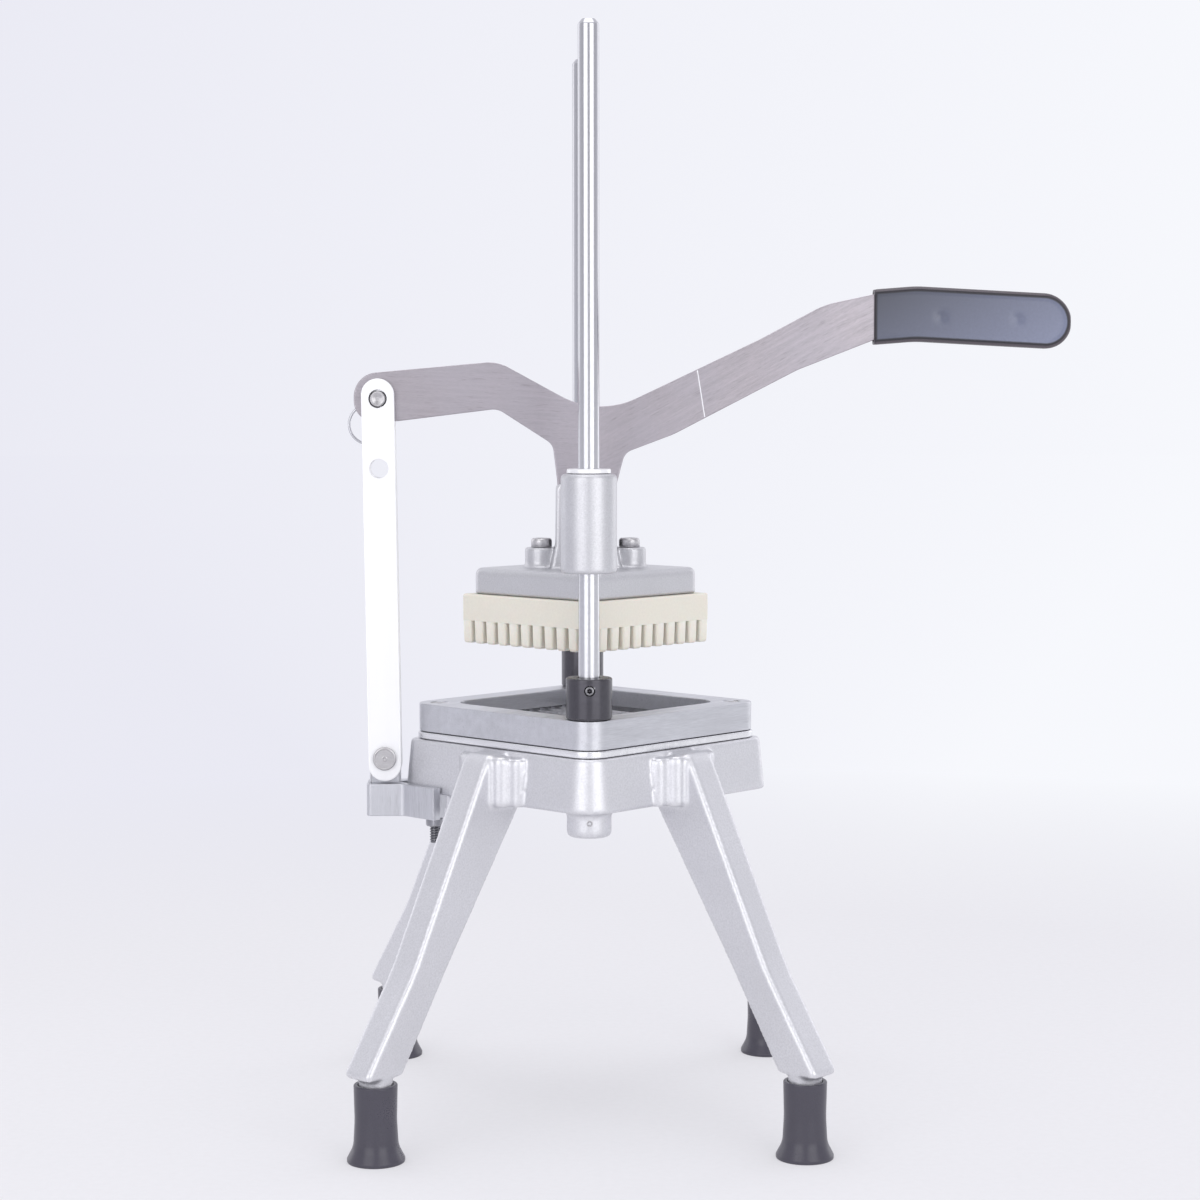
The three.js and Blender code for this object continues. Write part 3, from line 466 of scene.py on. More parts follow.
def new_group(name, inputs, outputs):
    """Empty shader node group with named sockets: a vector, and the inputs with their defaults."""
    tree = bpy.data.node_groups.new(name, "ShaderNodeTree")
    tree.interface.new_socket(name="Vector", in_out="INPUT", socket_type="NodeSocketVector")
    for label, default in inputs.items():
        socket = tree.interface.new_socket(name=label, in_out="INPUT", socket_type="NodeSocketFloat")
        socket.default_value = default
    for label in outputs:
        tree.interface.new_socket(name=label, in_out="OUTPUT", socket_type="NodeSocketFloat")
    wiring = Wiring(tree)
    return wiring, wiring.add("NodeGroupInput").outputs, wiring.add("NodeGroupOutput").inputs


def grain_group():
    """Fine grain with small pits over soft blotches, as tumbling leaves on a casting."""
    w, given, out = new_group("grain", {"Size": 0.001, "Pits": 0.5}, ["Height", "Tone", "Blotch"])
    scale = w.math("DIVIDE", 1.0, given["Size"])
    fine = w.noise(given["Vector"], scale, 3.0, 0.6)
    coarse = w.noise(given["Vector"], w.times(scale, 0.35), 2.0)
    cells = w.add("ShaderNodeTexVoronoi", {"Vector": given["Vector"], "Scale": w.times(scale, 0.45)})
    pits = w.times(w.spread(cells.outputs["Distance"], 0.05, 0.22, 1.0, 0.0), given["Pits"])
    height = w.plus(w.times(fine, 0.6), w.times(coarse, 0.5))
    w.link(w.minus(height, pits), out["Height"])
    w.link(w.spread(w.minus(fine, w.times(pits, 0.4)), 0.3, 0.7), out["Tone"])
    w.link(w.spread(w.noise(given["Vector"], w.times(scale, 0.03), 3.0), 0.35, 0.65), out["Blotch"])


def brushed_group():
    """Fine parallel lines along the first direction of the given coordinates."""
    w, given, out = new_group("brushed", {"Spacing": 0.0003, "Stretch": 60.0}, ["Height", "Tone", "Marks"])
    scale = w.math("DIVIDE", 1.0, given["Spacing"])
    parts = w.add("ShaderNodeSeparateXYZ", {0: given["Vector"]}).outputs
    along = w.math("DIVIDE", parts[0], given["Stretch"])
    drawn = w.add("ShaderNodeCombineXYZ", {0: along, 1: parts[1], 2: parts[2]}).outputs[0]
    lines = w.noise(drawn, scale, 3.0, 0.65)
    broad = w.noise(drawn, w.times(scale, 0.12), 2.0)
    marks = w.noise(drawn, w.times(scale, 0.3), 1.0)
    w.link(lines, out["Height"])
    mean = w.plus(w.times(lines, 0.6), w.times(broad, 0.4))
    w.link(w.spread(mean, 0.35, 0.65), out["Tone"])
    w.link(w.spread(marks, 0.66, 0.74), out["Marks"])


def edge_group():
    """Mask of outward edges, broken up by noise, and a mask of hollows where shade is painted."""
    w, given, out = new_group("edge wear", {"Low": 0.52, "High": 0.58}, ["Mask", "Hollow"])
    point = w.add("ShaderNodeNewGeometry").outputs["Pointiness"]
    edge = w.spread(point, given["Low"], given["High"])
    broken = w.spread(w.noise(given["Vector"], 350.0, 2.0), 0.25, 0.6, 0.45, 1.0)
    w.link(w.times(edge, broken), out["Mask"])
    w.link(w.spread(point, 0.47, 0.40), out["Hollow"])


WORN_CAST = (0.95, 0.95, 0.96)
WORN_METAL = (0.92, 0.92, 0.94)
SCRIBED = (0.96, 0.96, 0.98)


def rgba(colour, factor=1.0):
    return (*[min(1.0, channel * factor) for channel in colour], 1.0)


def start_material(name, metallic, **constants):
    """New material with a Principled shader whose constants are set on its own sockets."""
    material = bpy.data.materials.new(name)
    material.use_nodes = True
    tree = material.node_tree
    tree.nodes.clear()
    w = Wiring(tree)
    shader = w.add("ShaderNodeBsdfPrincipled")
    shader.inputs["Metallic"].default_value = metallic
    for key, value in constants.items():
        shader.inputs[key.replace("_", " ")].default_value = value
    output = w.add("ShaderNodeOutputMaterial")
    w.link(shader.outputs[0], output.inputs[0])
    place = w.add("ShaderNodeTexCoord").outputs["Object"]
    return material, w, shader, place


def surface(w, shader, colour, rough, height, distance, strength=1.0):
    """Links a colour, a roughness and a bump height to the shader."""
    bump = w.add("ShaderNodeBump", {"Height": height, "Distance": distance, "Strength": strength})
    w.link(colour, shader.inputs["Base Color"])
    w.link(rough, shader.inputs["Roughness"])
    w.link(bump.outputs[0], shader.inputs["Normal"])


def cast_finish(name, shade, size, edge_low, edge_high):
    """Tumbled casting: grey grain, soft blotches, brighter and smoother along its edges, with painted shade
    in its hollows.
    """
    tone = [channel * shade for channel in colours().cast_aluminium]
    material, w, shader, place = start_material(name, 0.85)
    grain = w.group("grain", Vector=place, Size=size, Pits=0.35).outputs
    edge = w.group("edge wear", Vector=place, Low=edge_low, High=edge_high).outputs
    base = w.blend(grain["Tone"], rgba(tone, 0.9), rgba(tone, 1.06))
    base = w.blend(w.times(grain["Blotch"], 0.35), base, rgba(tone, 0.9))
    # painted shade: the casting's hollows are darkened towards 55 percent of its tone
    base = w.blend(w.times(edge["Hollow"], 0.45), base, rgba(tone, 0.55))
    base = w.blend(w.times(edge["Mask"], 0.45), base, rgba(WORN_CAST))
    rough = w.spread(grain["Tone"], 0.0, 1.0, 0.46, 0.38)
    rough = w.minus(rough, w.times(edge["Mask"], 0.14))
    surface(w, shader, base, rough, grain["Height"], 0.00007)
    return material


def lined_finish(
    name, tone, spacing, stretch, turn, rough, metallic=1.0, depth=0.00001, contrast=0.1, mark=0.2
):
    """Metal with fine parallel lines: milled, ground or brushed. The lines' hollows are a little darker."""
    material, w, shader, place = start_material(name, metallic)
    lines = w.group("brushed", Vector=w.turned(place, turn), Spacing=spacing, Stretch=stretch).outputs
    grain = w.group("grain", Vector=place, Size=0.0012, Pits=0.0).outputs
    base = w.blend(lines["Tone"], rgba(tone, 1 - contrast), rgba(tone, 1 + contrast))
    base = w.blend(w.times(grain["Blotch"], 0.4), base, rgba(tone, 1 - contrast))
    base = w.blend(w.times(lines["Marks"], mark), base, rgba(tone, 0.6))
    edge = w.group("edge wear", Vector=place, Low=0.53, High=0.6).outputs
    base = w.blend(w.times(edge["Mask"], 0.5), base, rgba(WORN_METAL))
    shine = w.spread(lines["Tone"], 0.0, 1.0, rough * 1.2, rough * 0.85)
    shine = w.plus(shine, w.times(grain["Blotch"], rough * 0.15))
    surface(w, shader, base, shine, lines["Height"], depth)
    return material


STAIN = (0.9, 0.93, 0.97)  # what is left of each channel in the lever's darker blotches
LEVER_BRUSHING = (-0.05, 0.5)  # lean of the brushing on the left and right arm, in radians
SCRIBED_LINE = ((55.5, 369.2), (59.2, 346.1))  # its two ends: X from the cutting axis, and height


def lever_finish():
    """Lever plate brushed along each arm, with a few deep scratches and one scribed line."""
    tone = colours().lever_steel
    material, w, shader, place = start_material("lever_brushed", 1.0)
    parts = w.add("ShaderNodeSeparateXYZ", {0: place}).outputs
    right = w.spread(parts[0], AXIS_X * MM - 0.012, AXIS_X * MM + 0.012)
    arms = [
        w.group("brushed", Vector=w.turned(place, (0, turn, 0)), Spacing=0.00016, Stretch=14.0).outputs
        for turn in LEVER_BRUSHING
    ]
    left = w.minus(1.0, right)
    share = {
        key: w.plus(w.times(arms[0][key], left), w.times(arms[1][key], right))
        for key in ("Height", "Tone", "Marks")
    }
    grain = w.group("grain", Vector=place, Size=0.0016, Pits=0.2).outputs
    edge = w.group("edge wear", Vector=place, Low=0.53, High=0.6).outputs
    base = w.blend(share["Tone"], rgba(tone, 0.82), rgba(tone, 1.14))
    # painted shade: the plate is darker towards its left end, most at the link's joint and not at all from
    # the cutting axis rightwards
    base = w.blend(w.spread(parts[0], LINK_TOP[0] * MM, AXIS_X * MM, 0.3, 0.0), base, rgba(tone, 0.55))
    stain = [channel * share_left for channel, share_left in zip(tone, STAIN)]
    base = w.blend(w.times(grain["Blotch"], 0.5), base, rgba(stain))
    base = w.blend(w.times(share["Marks"], 0.45), base, rgba(tone, 0.55))
    base = w.blend(w.times(edge["Mask"], 0.7), base, rgba(WORN_METAL))
    scribe = scribed(w, parts, *SCRIBED_LINE)
    base = w.blend(scribe, base, rgba(SCRIBED))
    rough = w.plus(w.spread(share["Tone"], 0.0, 1.0, 0.40, 0.30), w.times(grain["Blotch"], 0.06))
    surface(w, shader, base, rough, w.minus(share["Height"], scribe), 0.000012)
    return material


def scribed(w, parts, top, bottom):
    """Mask of a thin straight line between two points (X from the cutting axis, Z), in millimetres.
    It is the distance from the line, times the share of the way along it being between 0 and 1."""
    start = np.array([AXIS_X + top[0], top[1]]) * MM
    way = np.array([bottom[0] - top[0], bottom[1] - top[1]]) * MM
    length = float(np.hypot(*way))
    way /= length
    cos, sin = way.tolist()
    dx, dz = w.minus(parts[0], float(start[0])), w.minus(parts[2], float(start[1]))
    off = w.math("ABSOLUTE", w.minus(w.times(dx, sin), w.times(dz, cos)))
    along = w.plus(w.times(dx, cos), w.times(dz, sin))
    inside = w.times(w.math("GREATER_THAN", along, 0.0), w.math("LESS_THAN", along, length))
    return w.times(w.spread(off, 0.00012, 0.00032, 1.0, 0.0), inside)


def moulded_finish(name, tone, rough, size, depth, contrast=0.06, **constants):
    """Moulded plastic or rubber: a faint mottle, uneven gloss and paler rubbed edges."""
    material, w, shader, place = start_material(name, 0.0, **constants)
    grain = w.group("grain", Vector=place, Size=size, Pits=0.15).outputs
    edge = w.group("edge wear", Vector=place, Low=0.54, High=0.62).outputs
    base = w.blend(grain["Tone"], rgba(tone, 1 - contrast), rgba(tone, 1 + contrast))
    base = w.blend(w.times(grain["Blotch"], 0.4), base, rgba(tone, 1 - contrast * 1.5))
    base = w.blend(w.times(edge["Mask"], 0.3), base, rgba(tone, 1.5))
    shine = w.spread(w.plus(grain["Tone"], grain["Blotch"]), 0.0, 2.0, rough * 0.9, rough * 1.12)
    surface(w, shader, base, shine, grain["Height"], depth)
    return material


RIM_SHADE = (0.006, 0.005, 0.012)  # painted shade in the crease between the grip's face and its rim
# painted shade over the grip's rolled rim
RIM_PAINTED_SHADE = (0.075, 0.062, 0.075)


def grip_finish():
    """Dipped vinyl: a bluish face with painted light that brightens it towards the tip and its lower edge,
    and a rolled rim darkened with painted shade.
    """
    tone = colours().vinyl
    low, high = span("lever_grip")
    material, w, shader, place = start_material("grip_vinyl", 0.0, Coat_Roughness=0.3, Coat_IOR=1.6)
    grain = w.group("grain", Vector=place, Size=0.0015, Pits=0.15).outputs
    parts = w.add("ShaderNodeSeparateXYZ", {0: place}).outputs
    along = w.spread(parts[0], float(low[0] * MM), float(high[0] * MM))
    down = w.spread(parts[2], float(low[2] * MM), float(high[2] * MM), 1.0, 0.0)
    # painted light: the face brightens towards the tip and towards its lower edge
    painted_light = w.plus(w.times(along, 0.65), w.times(down, 0.35))
    base = w.blend(painted_light, rgba(tone, 0.35), rgba(tone, 2.1))
    base = w.blend(w.times(grain["Tone"], 0.15), base, rgba(tone, 0.5))
    depth = w.add("ShaderNodeAttribute", attribute_name="rim_depth").outputs["Fac"]
    # painted shade: the crease and the rolled rim are darkened by their distance inside the outline
    base = w.blend(w.spread(depth, 2.3, 2.9, 1.0, 0.0), base, rgba(RIM_SHADE))
    base = w.blend(w.spread(depth, 1.2, 1.7, 1.0, 0.0), base, rgba(RIM_PAINTED_SHADE))
    w.link(w.spread(depth, 2.0, 3.0, 0.15, 0.7), shader.inputs["Coat Weight"])
    shine = w.spread(w.plus(grain["Tone"], grain["Blotch"]), 0.0, 2.0, 0.38, 0.48)
    surface(w, shader, base, shine, grain["Height"], 0.00003)
    return material


UNTURNED = (0, 0, 0)
UPRIGHT_LINES = (0, math.pi / 2, 0)
CAST = {  # finish: (shade, grain size, pointiness where worn edges begin, pointiness where they are fully worn)
    "base_cast": (1.14, 0.0009, 0.525, 0.57),
    "head_cast": (0.96, 0.0007, 0.53, 0.59),
}
LINED = {  # finish: (colour, spacing of the lines, their stretch, their turn, roughness, other settings)
    "frame_milled": ("machined_aluminium", 0.0005, 14.0, (0, 0, -TURN), 0.34, {}),
    "bracket_milled": ("machined_aluminium", 0.0004, 12.0, UPRIGHT_LINES, 0.36, {}),
    "plate_steel": ("polished_steel", 0.0004, 30.0, (0, 0, TURN), 0.26, {}),
    "rod_steel": ("rod_steel", 0.0002, 8.0, UNTURNED, 0.2, {"contrast": 0.04, "mark": 0.1}),
    "link_polish": (
        "link_steel", 0.0005, 60.0, UPRIGHT_LINES, 0.34,
        {"metallic": 0.35, "contrast": 0.012, "mark": 0.04, "depth": 0.0000015},
    ),
    "bush_bright": (
        "link_steel", 0.0003, 8.0, UNTURNED, 0.3, {"metallic": 0.5, "contrast": 0.03, "mark": 0.05},
    ),
    "fastener_zinc": ("fastener_steel", 0.0003, 4.0, UNTURNED, 0.32, {"contrast": 0.14}),
    "blade_ground": ("blade_steel", 0.0003, 10.0, UPRIGHT_LINES, 0.3, {"contrast": 0.25, "mark": 0.3}),
    "nut_zinc": ("nut_steel", 0.0003, 4.0, UNTURNED, 0.36, {"contrast": 0.08, "mark": 0.1}),
    "stud_black": ("stud_steel", 0.0004, 2.0, UNTURNED, 0.32, {"contrast": 0.06, "mark": 0.05}),
    "collar_black": (
        "black_oxide", 0.0003, 8.0, UNTURNED, 0.2, {"metallic": 0.7, "contrast": 0.15, "mark": 0.1},
    ),
}
MOULDED = {  # finish: (colour, roughness, grain size, grain depth, contrast, shader constants)
    "pusher_ivory": (
        "ivory_plastic", 0.42, 0.0012, 0.00003, 0.03, {"Subsurface_Weight": 0.12, "Subsurface_Scale": 0.002},
    ),
    "foot_rubber": ("rubber", 0.29, 0.0006, 0.000015, 0.1, {}),
}


def finish(name):
    """The named finish, built when it is first asked for."""
    made = bpy.data.materials.get(name)
    if made:
        return made
    if name in CAST:
        return cast_finish(name, *CAST[name])
    if name in LINED or name in MOULDED:
        make, table = (lined_finish, LINED) if name in LINED else (moulded_finish, MOULDED)
        tone, *numbers, more = table[name]
        return make(name, getattr(colours(), tone), *numbers, **more)
    return {"grip_vinyl": grip_finish, "lever_brushed": lever_finish}[name]()


# ---------------------------------------------------------------- base and feet

FOOT_CIRCLE = 142
LEG_ANGLES = {"rear_right": TURN, "rear_left": 3 * TURN, "front_left": 5 * TURN, "front_right": 7 * TURN}
LEG_SIDE = [  # (distance from the cutting axis, height, rounding) round one side of a leg
    (49.25, 185.2, 0.3),
    (75.0, 185.2, 5),
    (77.8, 181.2, 3),
    (124.4, 88.1, 120),
    (154.5, 42.5, 3.2),
    (153, 40, 3.2),
    (132.1, 40, 2.2),
    (101.8, 88.1, 60),
    (52.25, 162.2, 3),
]
LEG_HALF_WIDTH = 8.5
STUB_RADIUS = 8
STUB_LOW, STUB_HIGH = 8.3, 44
SOCKET_RADIUS = 10.6
STOP_PLACE = (-65.0, 22.3)  # of a stop under the ring: X from the cutting axis, and Y to either side
FLUTES = ((10.4, 69.6, 5.0, 184.4), (17.2, 64.6, 4.6, 183.6))  # (beside the leg, from the axis, radius, top)


def base_bodies():
    """Ring, sockets, legs, stubs, flutes and stops of the base, as closed bodies that overlap."""
    edge = sizes().leg_edge / MM
    ring_loop = diamond(RING_HALF, RING_CORNERS)
    profile = edged(RING_BOTTOM, BASE_TOP, 1.3)
    profile[:, 0] += (BASE_TOP - profile[:, 1]) / (BASE_TOP - RING_BOTTOM) * RING_FLARE
    throat = wall(diamond(THROAT_HALF, [THROAT_CORNER] * 4), edged(RING_BOTTOM, BASE_TOP, 0.8, side=-1))
    bodies = [plate([wall(ring_loop, profile), throat])]
    for end, _ in ENDS:
        x, y, _z = middle(f"guide_rod_{end}")
        low = span(f"guide_rod_{end}")[0][2] - 2.5
        top = BASE_TOP - 1.2
        rows = [(0, low), (SOCKET_RADIUS, low, 2.4), (SOCKET_RADIUS, top, 0.5), (0, top)]
        bodies.append(lathe(rows, x, y, segments=72))
    for angle in LEG_ANGLES.values():
        loop = rounded(LEG_SIDE, 14)
        t = np.linspace(0, math.pi / 2, 7)
        growth, height = -0.75 * edge * (1 - np.sin(t)), LEG_HALF_WIDTH - 1.25 * edge * (1 - np.cos(t))
        rim = np.column_stack([growth, height])
        rows = np.vstack([rim, rim[::-1] * [1, -1]])
        parts = [plate([wall(loop, rows, across)])]
        stub = [(0, STUB_LOW), (STUB_RADIUS, STUB_LOW, 1), (STUB_RADIUS, STUB_HIGH, 0.5), (0, STUB_HIGH)]
        parts.append(lathe(stub, FOOT_CIRCLE, 0))
        for beside, out, radius, top in FLUTES:
            for side in (-1, 1):
                rows = [(0, RING_BOTTOM), (radius, RING_BOTTOM, 1), (radius, top, 3.6), (0, top)]
                parts.append(lathe(rows, out, side * beside, segments=40))
        bodies += [moved(part, angle, (AXIS_X, 0, 0)) for part in parts]
    for side in (-1, 1):
        loop = rounded([(0, -4, 0.8), (6, -4, 0.8), (6, 4, 0.8), (0, 4, 0.8)], 4)
        stop = plate([wall(loop, edged(RING_BOTTOM - 10, RING_BOTTOM + 2, 0.6))])
        bodies.append(moved(stop, side * TURN, (AXIS_X + STOP_PLACE[0], side * STOP_PLACE[1], 0)))
    return bodies


class DICER_OT_base(bpy.types.Operator):
    """Base casting: square ring, four legs and two rod sockets, grown together"""

    bl_idname = "dicer.base"
    bl_label = "Base casting"

    def execute(self, context):
        size = context.scene.dicer_sizes
        fine, passes = size.casting_detail, size.casting_passes
        add_casting("base_shell", base_bodies(), "base", ["base_casting"], finish("base_cast"), fine, passes)
        return {"FINISHED"}


class DICER_OT_feet(bpy.types.Operator):
    """Four flared rubber feet"""

    bl_idname = "dicer.feet"
    bl_label = "Feet"

    def execute(self, context):
        rows = [
            (0, 0), (13.6, 0, 0.5), (13.6, 1.7, 0.8), (10.6, 7.4, 12), (9.9, 20, 60), (10.3, 36.7, 0.7),
            (8.3, 36.7, 0.5), (8.3, 8, 0.5), (0, 8),
        ]
        for name in LEG_ANGLES:
            x, y, _z = middle(f"foot_{name}")
            foot = lathe(rows, x, y, segments=96, steps=10)
            add_piece(f"rubber_foot_{name}", [foot], "base", [f"foot_{name}"], finish("foot_rubber"))
        return {"FINISHED"}


# ---------------------------------------------------------------- blade cartridge

FRAME_HALF = 61.95
FRAME_CORNER = 11
OPENING_HALF = 47.75
SEAT_HALF = 52.05
ROD_HOLE = 5.3
SCREW_HEAD = 4.2
SCREW_NECK = 2.0
BLADE_HALF = 0.4  # half a blade's thickness


class DICER_OT_cartridge(bpy.types.Operator):
    """Blade frame, plate, countersunk screws and two crossing layers of blades"""

    bl_idname = "dicer.cartridge"
    bl_label = "Blade cartridge"

    def execute(self, context):
        edge = context.scene.dicer_sizes.machined_edge / MM
        low, top = span("blade_frame")[0][2], span("blade_frame")[1][2]
        plate_low, plate_top = span("blade_plate")[0][2], span("blade_plate")[1][2]
        seat_top = span("blade_upper_1")[1][2] + 0.3
        rods = [middle(f"guide_rod_{end}") for end, _ in ENDS]
        screws = [middle(f"frame_screw_{end}") for end in ("left", "right")]
        opening = edged(seat_top, top, edge, side=-1)[:-1]
        step = SEAT_HALF - OPENING_HALF
        opening = np.vstack([opening, [0, seat_top], [step, seat_top], [step, low]])
        screw_hole = SCREW_NECK + 0.3
        sink_floor = top - 0.4 - (SCREW_HEAD - SCREW_NECK) - 0.3
        sink = [(2.7, top), (2.5, top - 0.2), (2.4, top - 0.7), (0, sink_floor - 0.2), (0, low)]
        walls = [
            wall(diamond(FRAME_HALF, [FRAME_CORNER] * 4, 16), edged(low, top, edge, leads=WIDE_LEADS)),
            wall(diamond(OPENING_HALF, [THROAT_CORNER] * 4, 12), opening),
            *[wall(circle(ROD_HOLE, x, y), edged(low, top, 0.2, side=-1)) for x, y, _z in rods],
            *[wall(circle(screw_hole, x, y), sink) for x, y, _z in screws],
        ]
        add_piece("cartridge_frame", [plate(walls)], "base", ["blade_frame"], finish("frame_milled"))
        fine_edge = edged(plate_low, plate_top, 0.1, side=-1)
        walls = [
            wall(diamond(FRAME_HALF + 0.7, [FRAME_CORNER + 0.7] * 4, 16), edged(plate_low, plate_top, 0.7)),
            wall(diamond(SEAT_HALF, [THROAT_CORNER] * 4, 12), edged(plate_low, plate_top, 0.2, side=-1)),
            *[wall(circle(ROD_HOLE, x, y), edged(plate_low, plate_top, 0.2, side=-1)) for x, y, _z in rods],
            *[wall(circle(screw_hole, x, y), fine_edge) for x, y, _z in screws],
        ]
        add_piece("cartridge_plate", [plate(walls)], "base", ["blade_plate"], finish("plate_steel"))
        for end, (x, y, _z) in zip(("left", "right"), screws):
            node = f"frame_screw_{end}"
            end_of_screw, head = span(node)[0][2], span(node)[1][2]
            rows = [
                (0, end_of_screw), (SCREW_NECK, end_of_screw), (SCREW_NECK, head - 2.3),
                (SCREW_HEAD - 0.2, head - 0.2), (SCREW_HEAD - 0.4, head), (1.7, head), (1.55, head - 0.15),
                (1.5, head - 1.6), (0, head - 1.7),
            ]
            hexes = [NO_HEX] * 5 + [1.35, 1.3, 1.25, 1.25]
            screw = turned(rows, x, y, hexes=hexes, segments=48)
            add_piece(f"countersunk_{end}", [screw], "base", [node], finish("fastener_zinc"))
        for layer, turn in (("lower", TURN), ("upper", -TURN)):
            nodes = [f"blade_{layer}_{i}" for i in range(1, 11)]
            self.add_blades(layer, nodes, turn)
        return {"FINISHED"}

    def add_blades(self, layer, nodes, turn):
        """Ten straight blades side by side. Each is a six-sided section carried along the blade:
        flat below, with its two faces ground together at the cutting edge."""
        low, high = span(nodes[0])[0][2], span(nodes[0])[1][2]
        thick, tip, bevel = BLADE_HALF, 0.07, high - 1.1
        section = rounded([
            (-thick, low, 0.1), (thick, low, 0.1), (thick, bevel, 0.3),
            (tip, high, 0.05), (-tip, high, 0.05), (-thick, bevel, 0.3),
        ], 3)
        half = SEAT_HALF - 0.3
        pitch = sizes().tooth_pitch / MM
        blades = []
        for i in range(len(nodes)):
            offset = (i - (len(nodes) - 1) / 2) * pitch
            body = plate([wall(section + [offset, 0], [(0, half), (0, -half)], lengthwise)])
            blades.append(moved(body, turn, (AXIS_X, 0, 0)))
        add_piece(f"blades_{layer}", blades, "base", nodes, finish("blade_ground"))


# ---------------------------------------------------------------- guide rods and collars

ROD_RADIUS = 5
COLLAR_RADIUS = 11
COLLAR_EDGE = 0.9
SET_SCREW_BORE = 2.5


class DICER_OT_rods(bpy.types.Operator):
    """Guide rods with their pins, and the stop collars with their set screws"""

    bl_idname = "dicer.rods"
    bl_label = "Guide rods"

    def execute(self, context):
        for end, side in ENDS:
            node = f"guide_rod_{end}"
            x, y, _z = middle(node)
            low, top = span(node)[0][2], span(node)[1][2]
            rows = [(0, low), (ROD_RADIUS, low, 0.3), (ROD_RADIUS, top - 2.4, 1.2), (3.1, top, 0.5), (0, top)]
            add_piece(f"rod_{end}", [lathe(rows, x, y, segments=72)], "base", [node], finish("rod_steel"))
            self.add_pin(end, x)
            self.add_collar(end, side, x, y)
        return {"FINISHED"}

    def add_pin(self, end, x):
        """Hollow sprung pin through a socket and rod."""
        node = f"rod_pin_{end}"
        near, far = span(node)[0][1] - 0.6, span(node)[1][1] + 0.6
        corners = [(0.8, near, 0.1), (1.5, near, 0.3), (1.5, far, 0.3), (0.8, far, 0.1), (0.8, near, 0.1)]
        rows = rounded(corners, 4, closed=False)
        pin = turned(rows, x, middle(node)[2], "Y", 40)
        add_piece(f"sprung_pin_{end}", [pin], "base", [node], finish("fastener_zinc"))

    def add_collar(self, end, side, x, y):
        """Turned collar, drilled for a set screw with a hexagon socket."""
        node = f"rod_collar_{end}"
        low, top = span(node)[0][2], span(node)[1][2]
        z = middle(f"collar_screw_{end}")[2]
        foot, mouth = [ROD_HOLE, low], [ROD_HOLE, top]
        below, above = (COLLAR_RADIUS, low, COLLAR_EDGE), (COLLAR_RADIUS, top, COLLAR_EDGE)
        outer = rounded([(*foot, 0), below, above, (*mouth, 0.4), (*foot, 0)], 5, closed=False)
        outer = outer[outer[:, 0] > ROD_HOLE + 0.01]
        levels = np.arange(low + 1, top - COLLAR_EDGE, 0.5)
        straight = np.column_stack([np.full(len(levels), float(COLLAR_RADIUS)), levels])
        lower, upper = outer[outer[:, 1] < low + 1], outer[outer[:, 1] > top - 1]
        rows = np.vstack([foot, lower, straight, upper, mouth, foot])
        first, last = y + side * 3, y + side * 14
        bore = [(0, first), (SET_SCREW_BORE, first), (SET_SCREW_BORE, last), (0, last)]
        collar = bpy.data.objects.new(f"collar_{end}", mesh_of("collar", [turned(rows, x, y, segments=144)]))
        drill = bpy.data.objects.new("drill", mesh_of("drill", [lathe(bore, x, z, "Y", 32)]))
        for made in (collar, drill):
            bpy.context.scene.collection.objects.link(made)
        cut = collar.modifiers.new("drilled", "BOOLEAN")
        cut.object = drill
        cut.operation = "DIFFERENCE"
        bpy.context.view_layer.update()
        bake(collar)
        bpy.data.objects.remove(drill)
        smooth_by_area(collar.data)
        settle(collar, "base", [node], finish("collar_black"))
        node = f"collar_screw_{end}"
        inner, outer = depths(node, side)
        rows = [
            (0, inner), (2.2, inner), (2.2, outer - side * 0.3), (1.9, outer), (1.3, outer),
            (1.15, outer - side * 0.2), (1.1, outer - side * 1.6), (0, outer - side * 1.7),
        ]
        hexes = [NO_HEX] * 4 + [1.15, 1.05, 1.0, 1.0]
        screw = turned(rows, x, z, "Y", 48, hexes)
        add_piece(f"set_screw_{end}", [screw], "base", [node], finish("collar_black"))


# ---------------------------------------------------------------- link bracket

LINK_FOOT = middle("link_rivet")[[0, 2]]
PIN_RADIUS = 4.0
LINK_TOP = np.array([middle("release_pin")[0], span("release_pin")[1][2] - PIN_RADIUS])
TAB_HALF = 7.7
THREAD_ROOT = 1.75
THREAD_DEPTH = 0.65
SHANK_RADIUS = 2.1
RING_CORNER_X = (RING_HALF + RING_FLARE) * math.sqrt(2)  # from the cutting axis


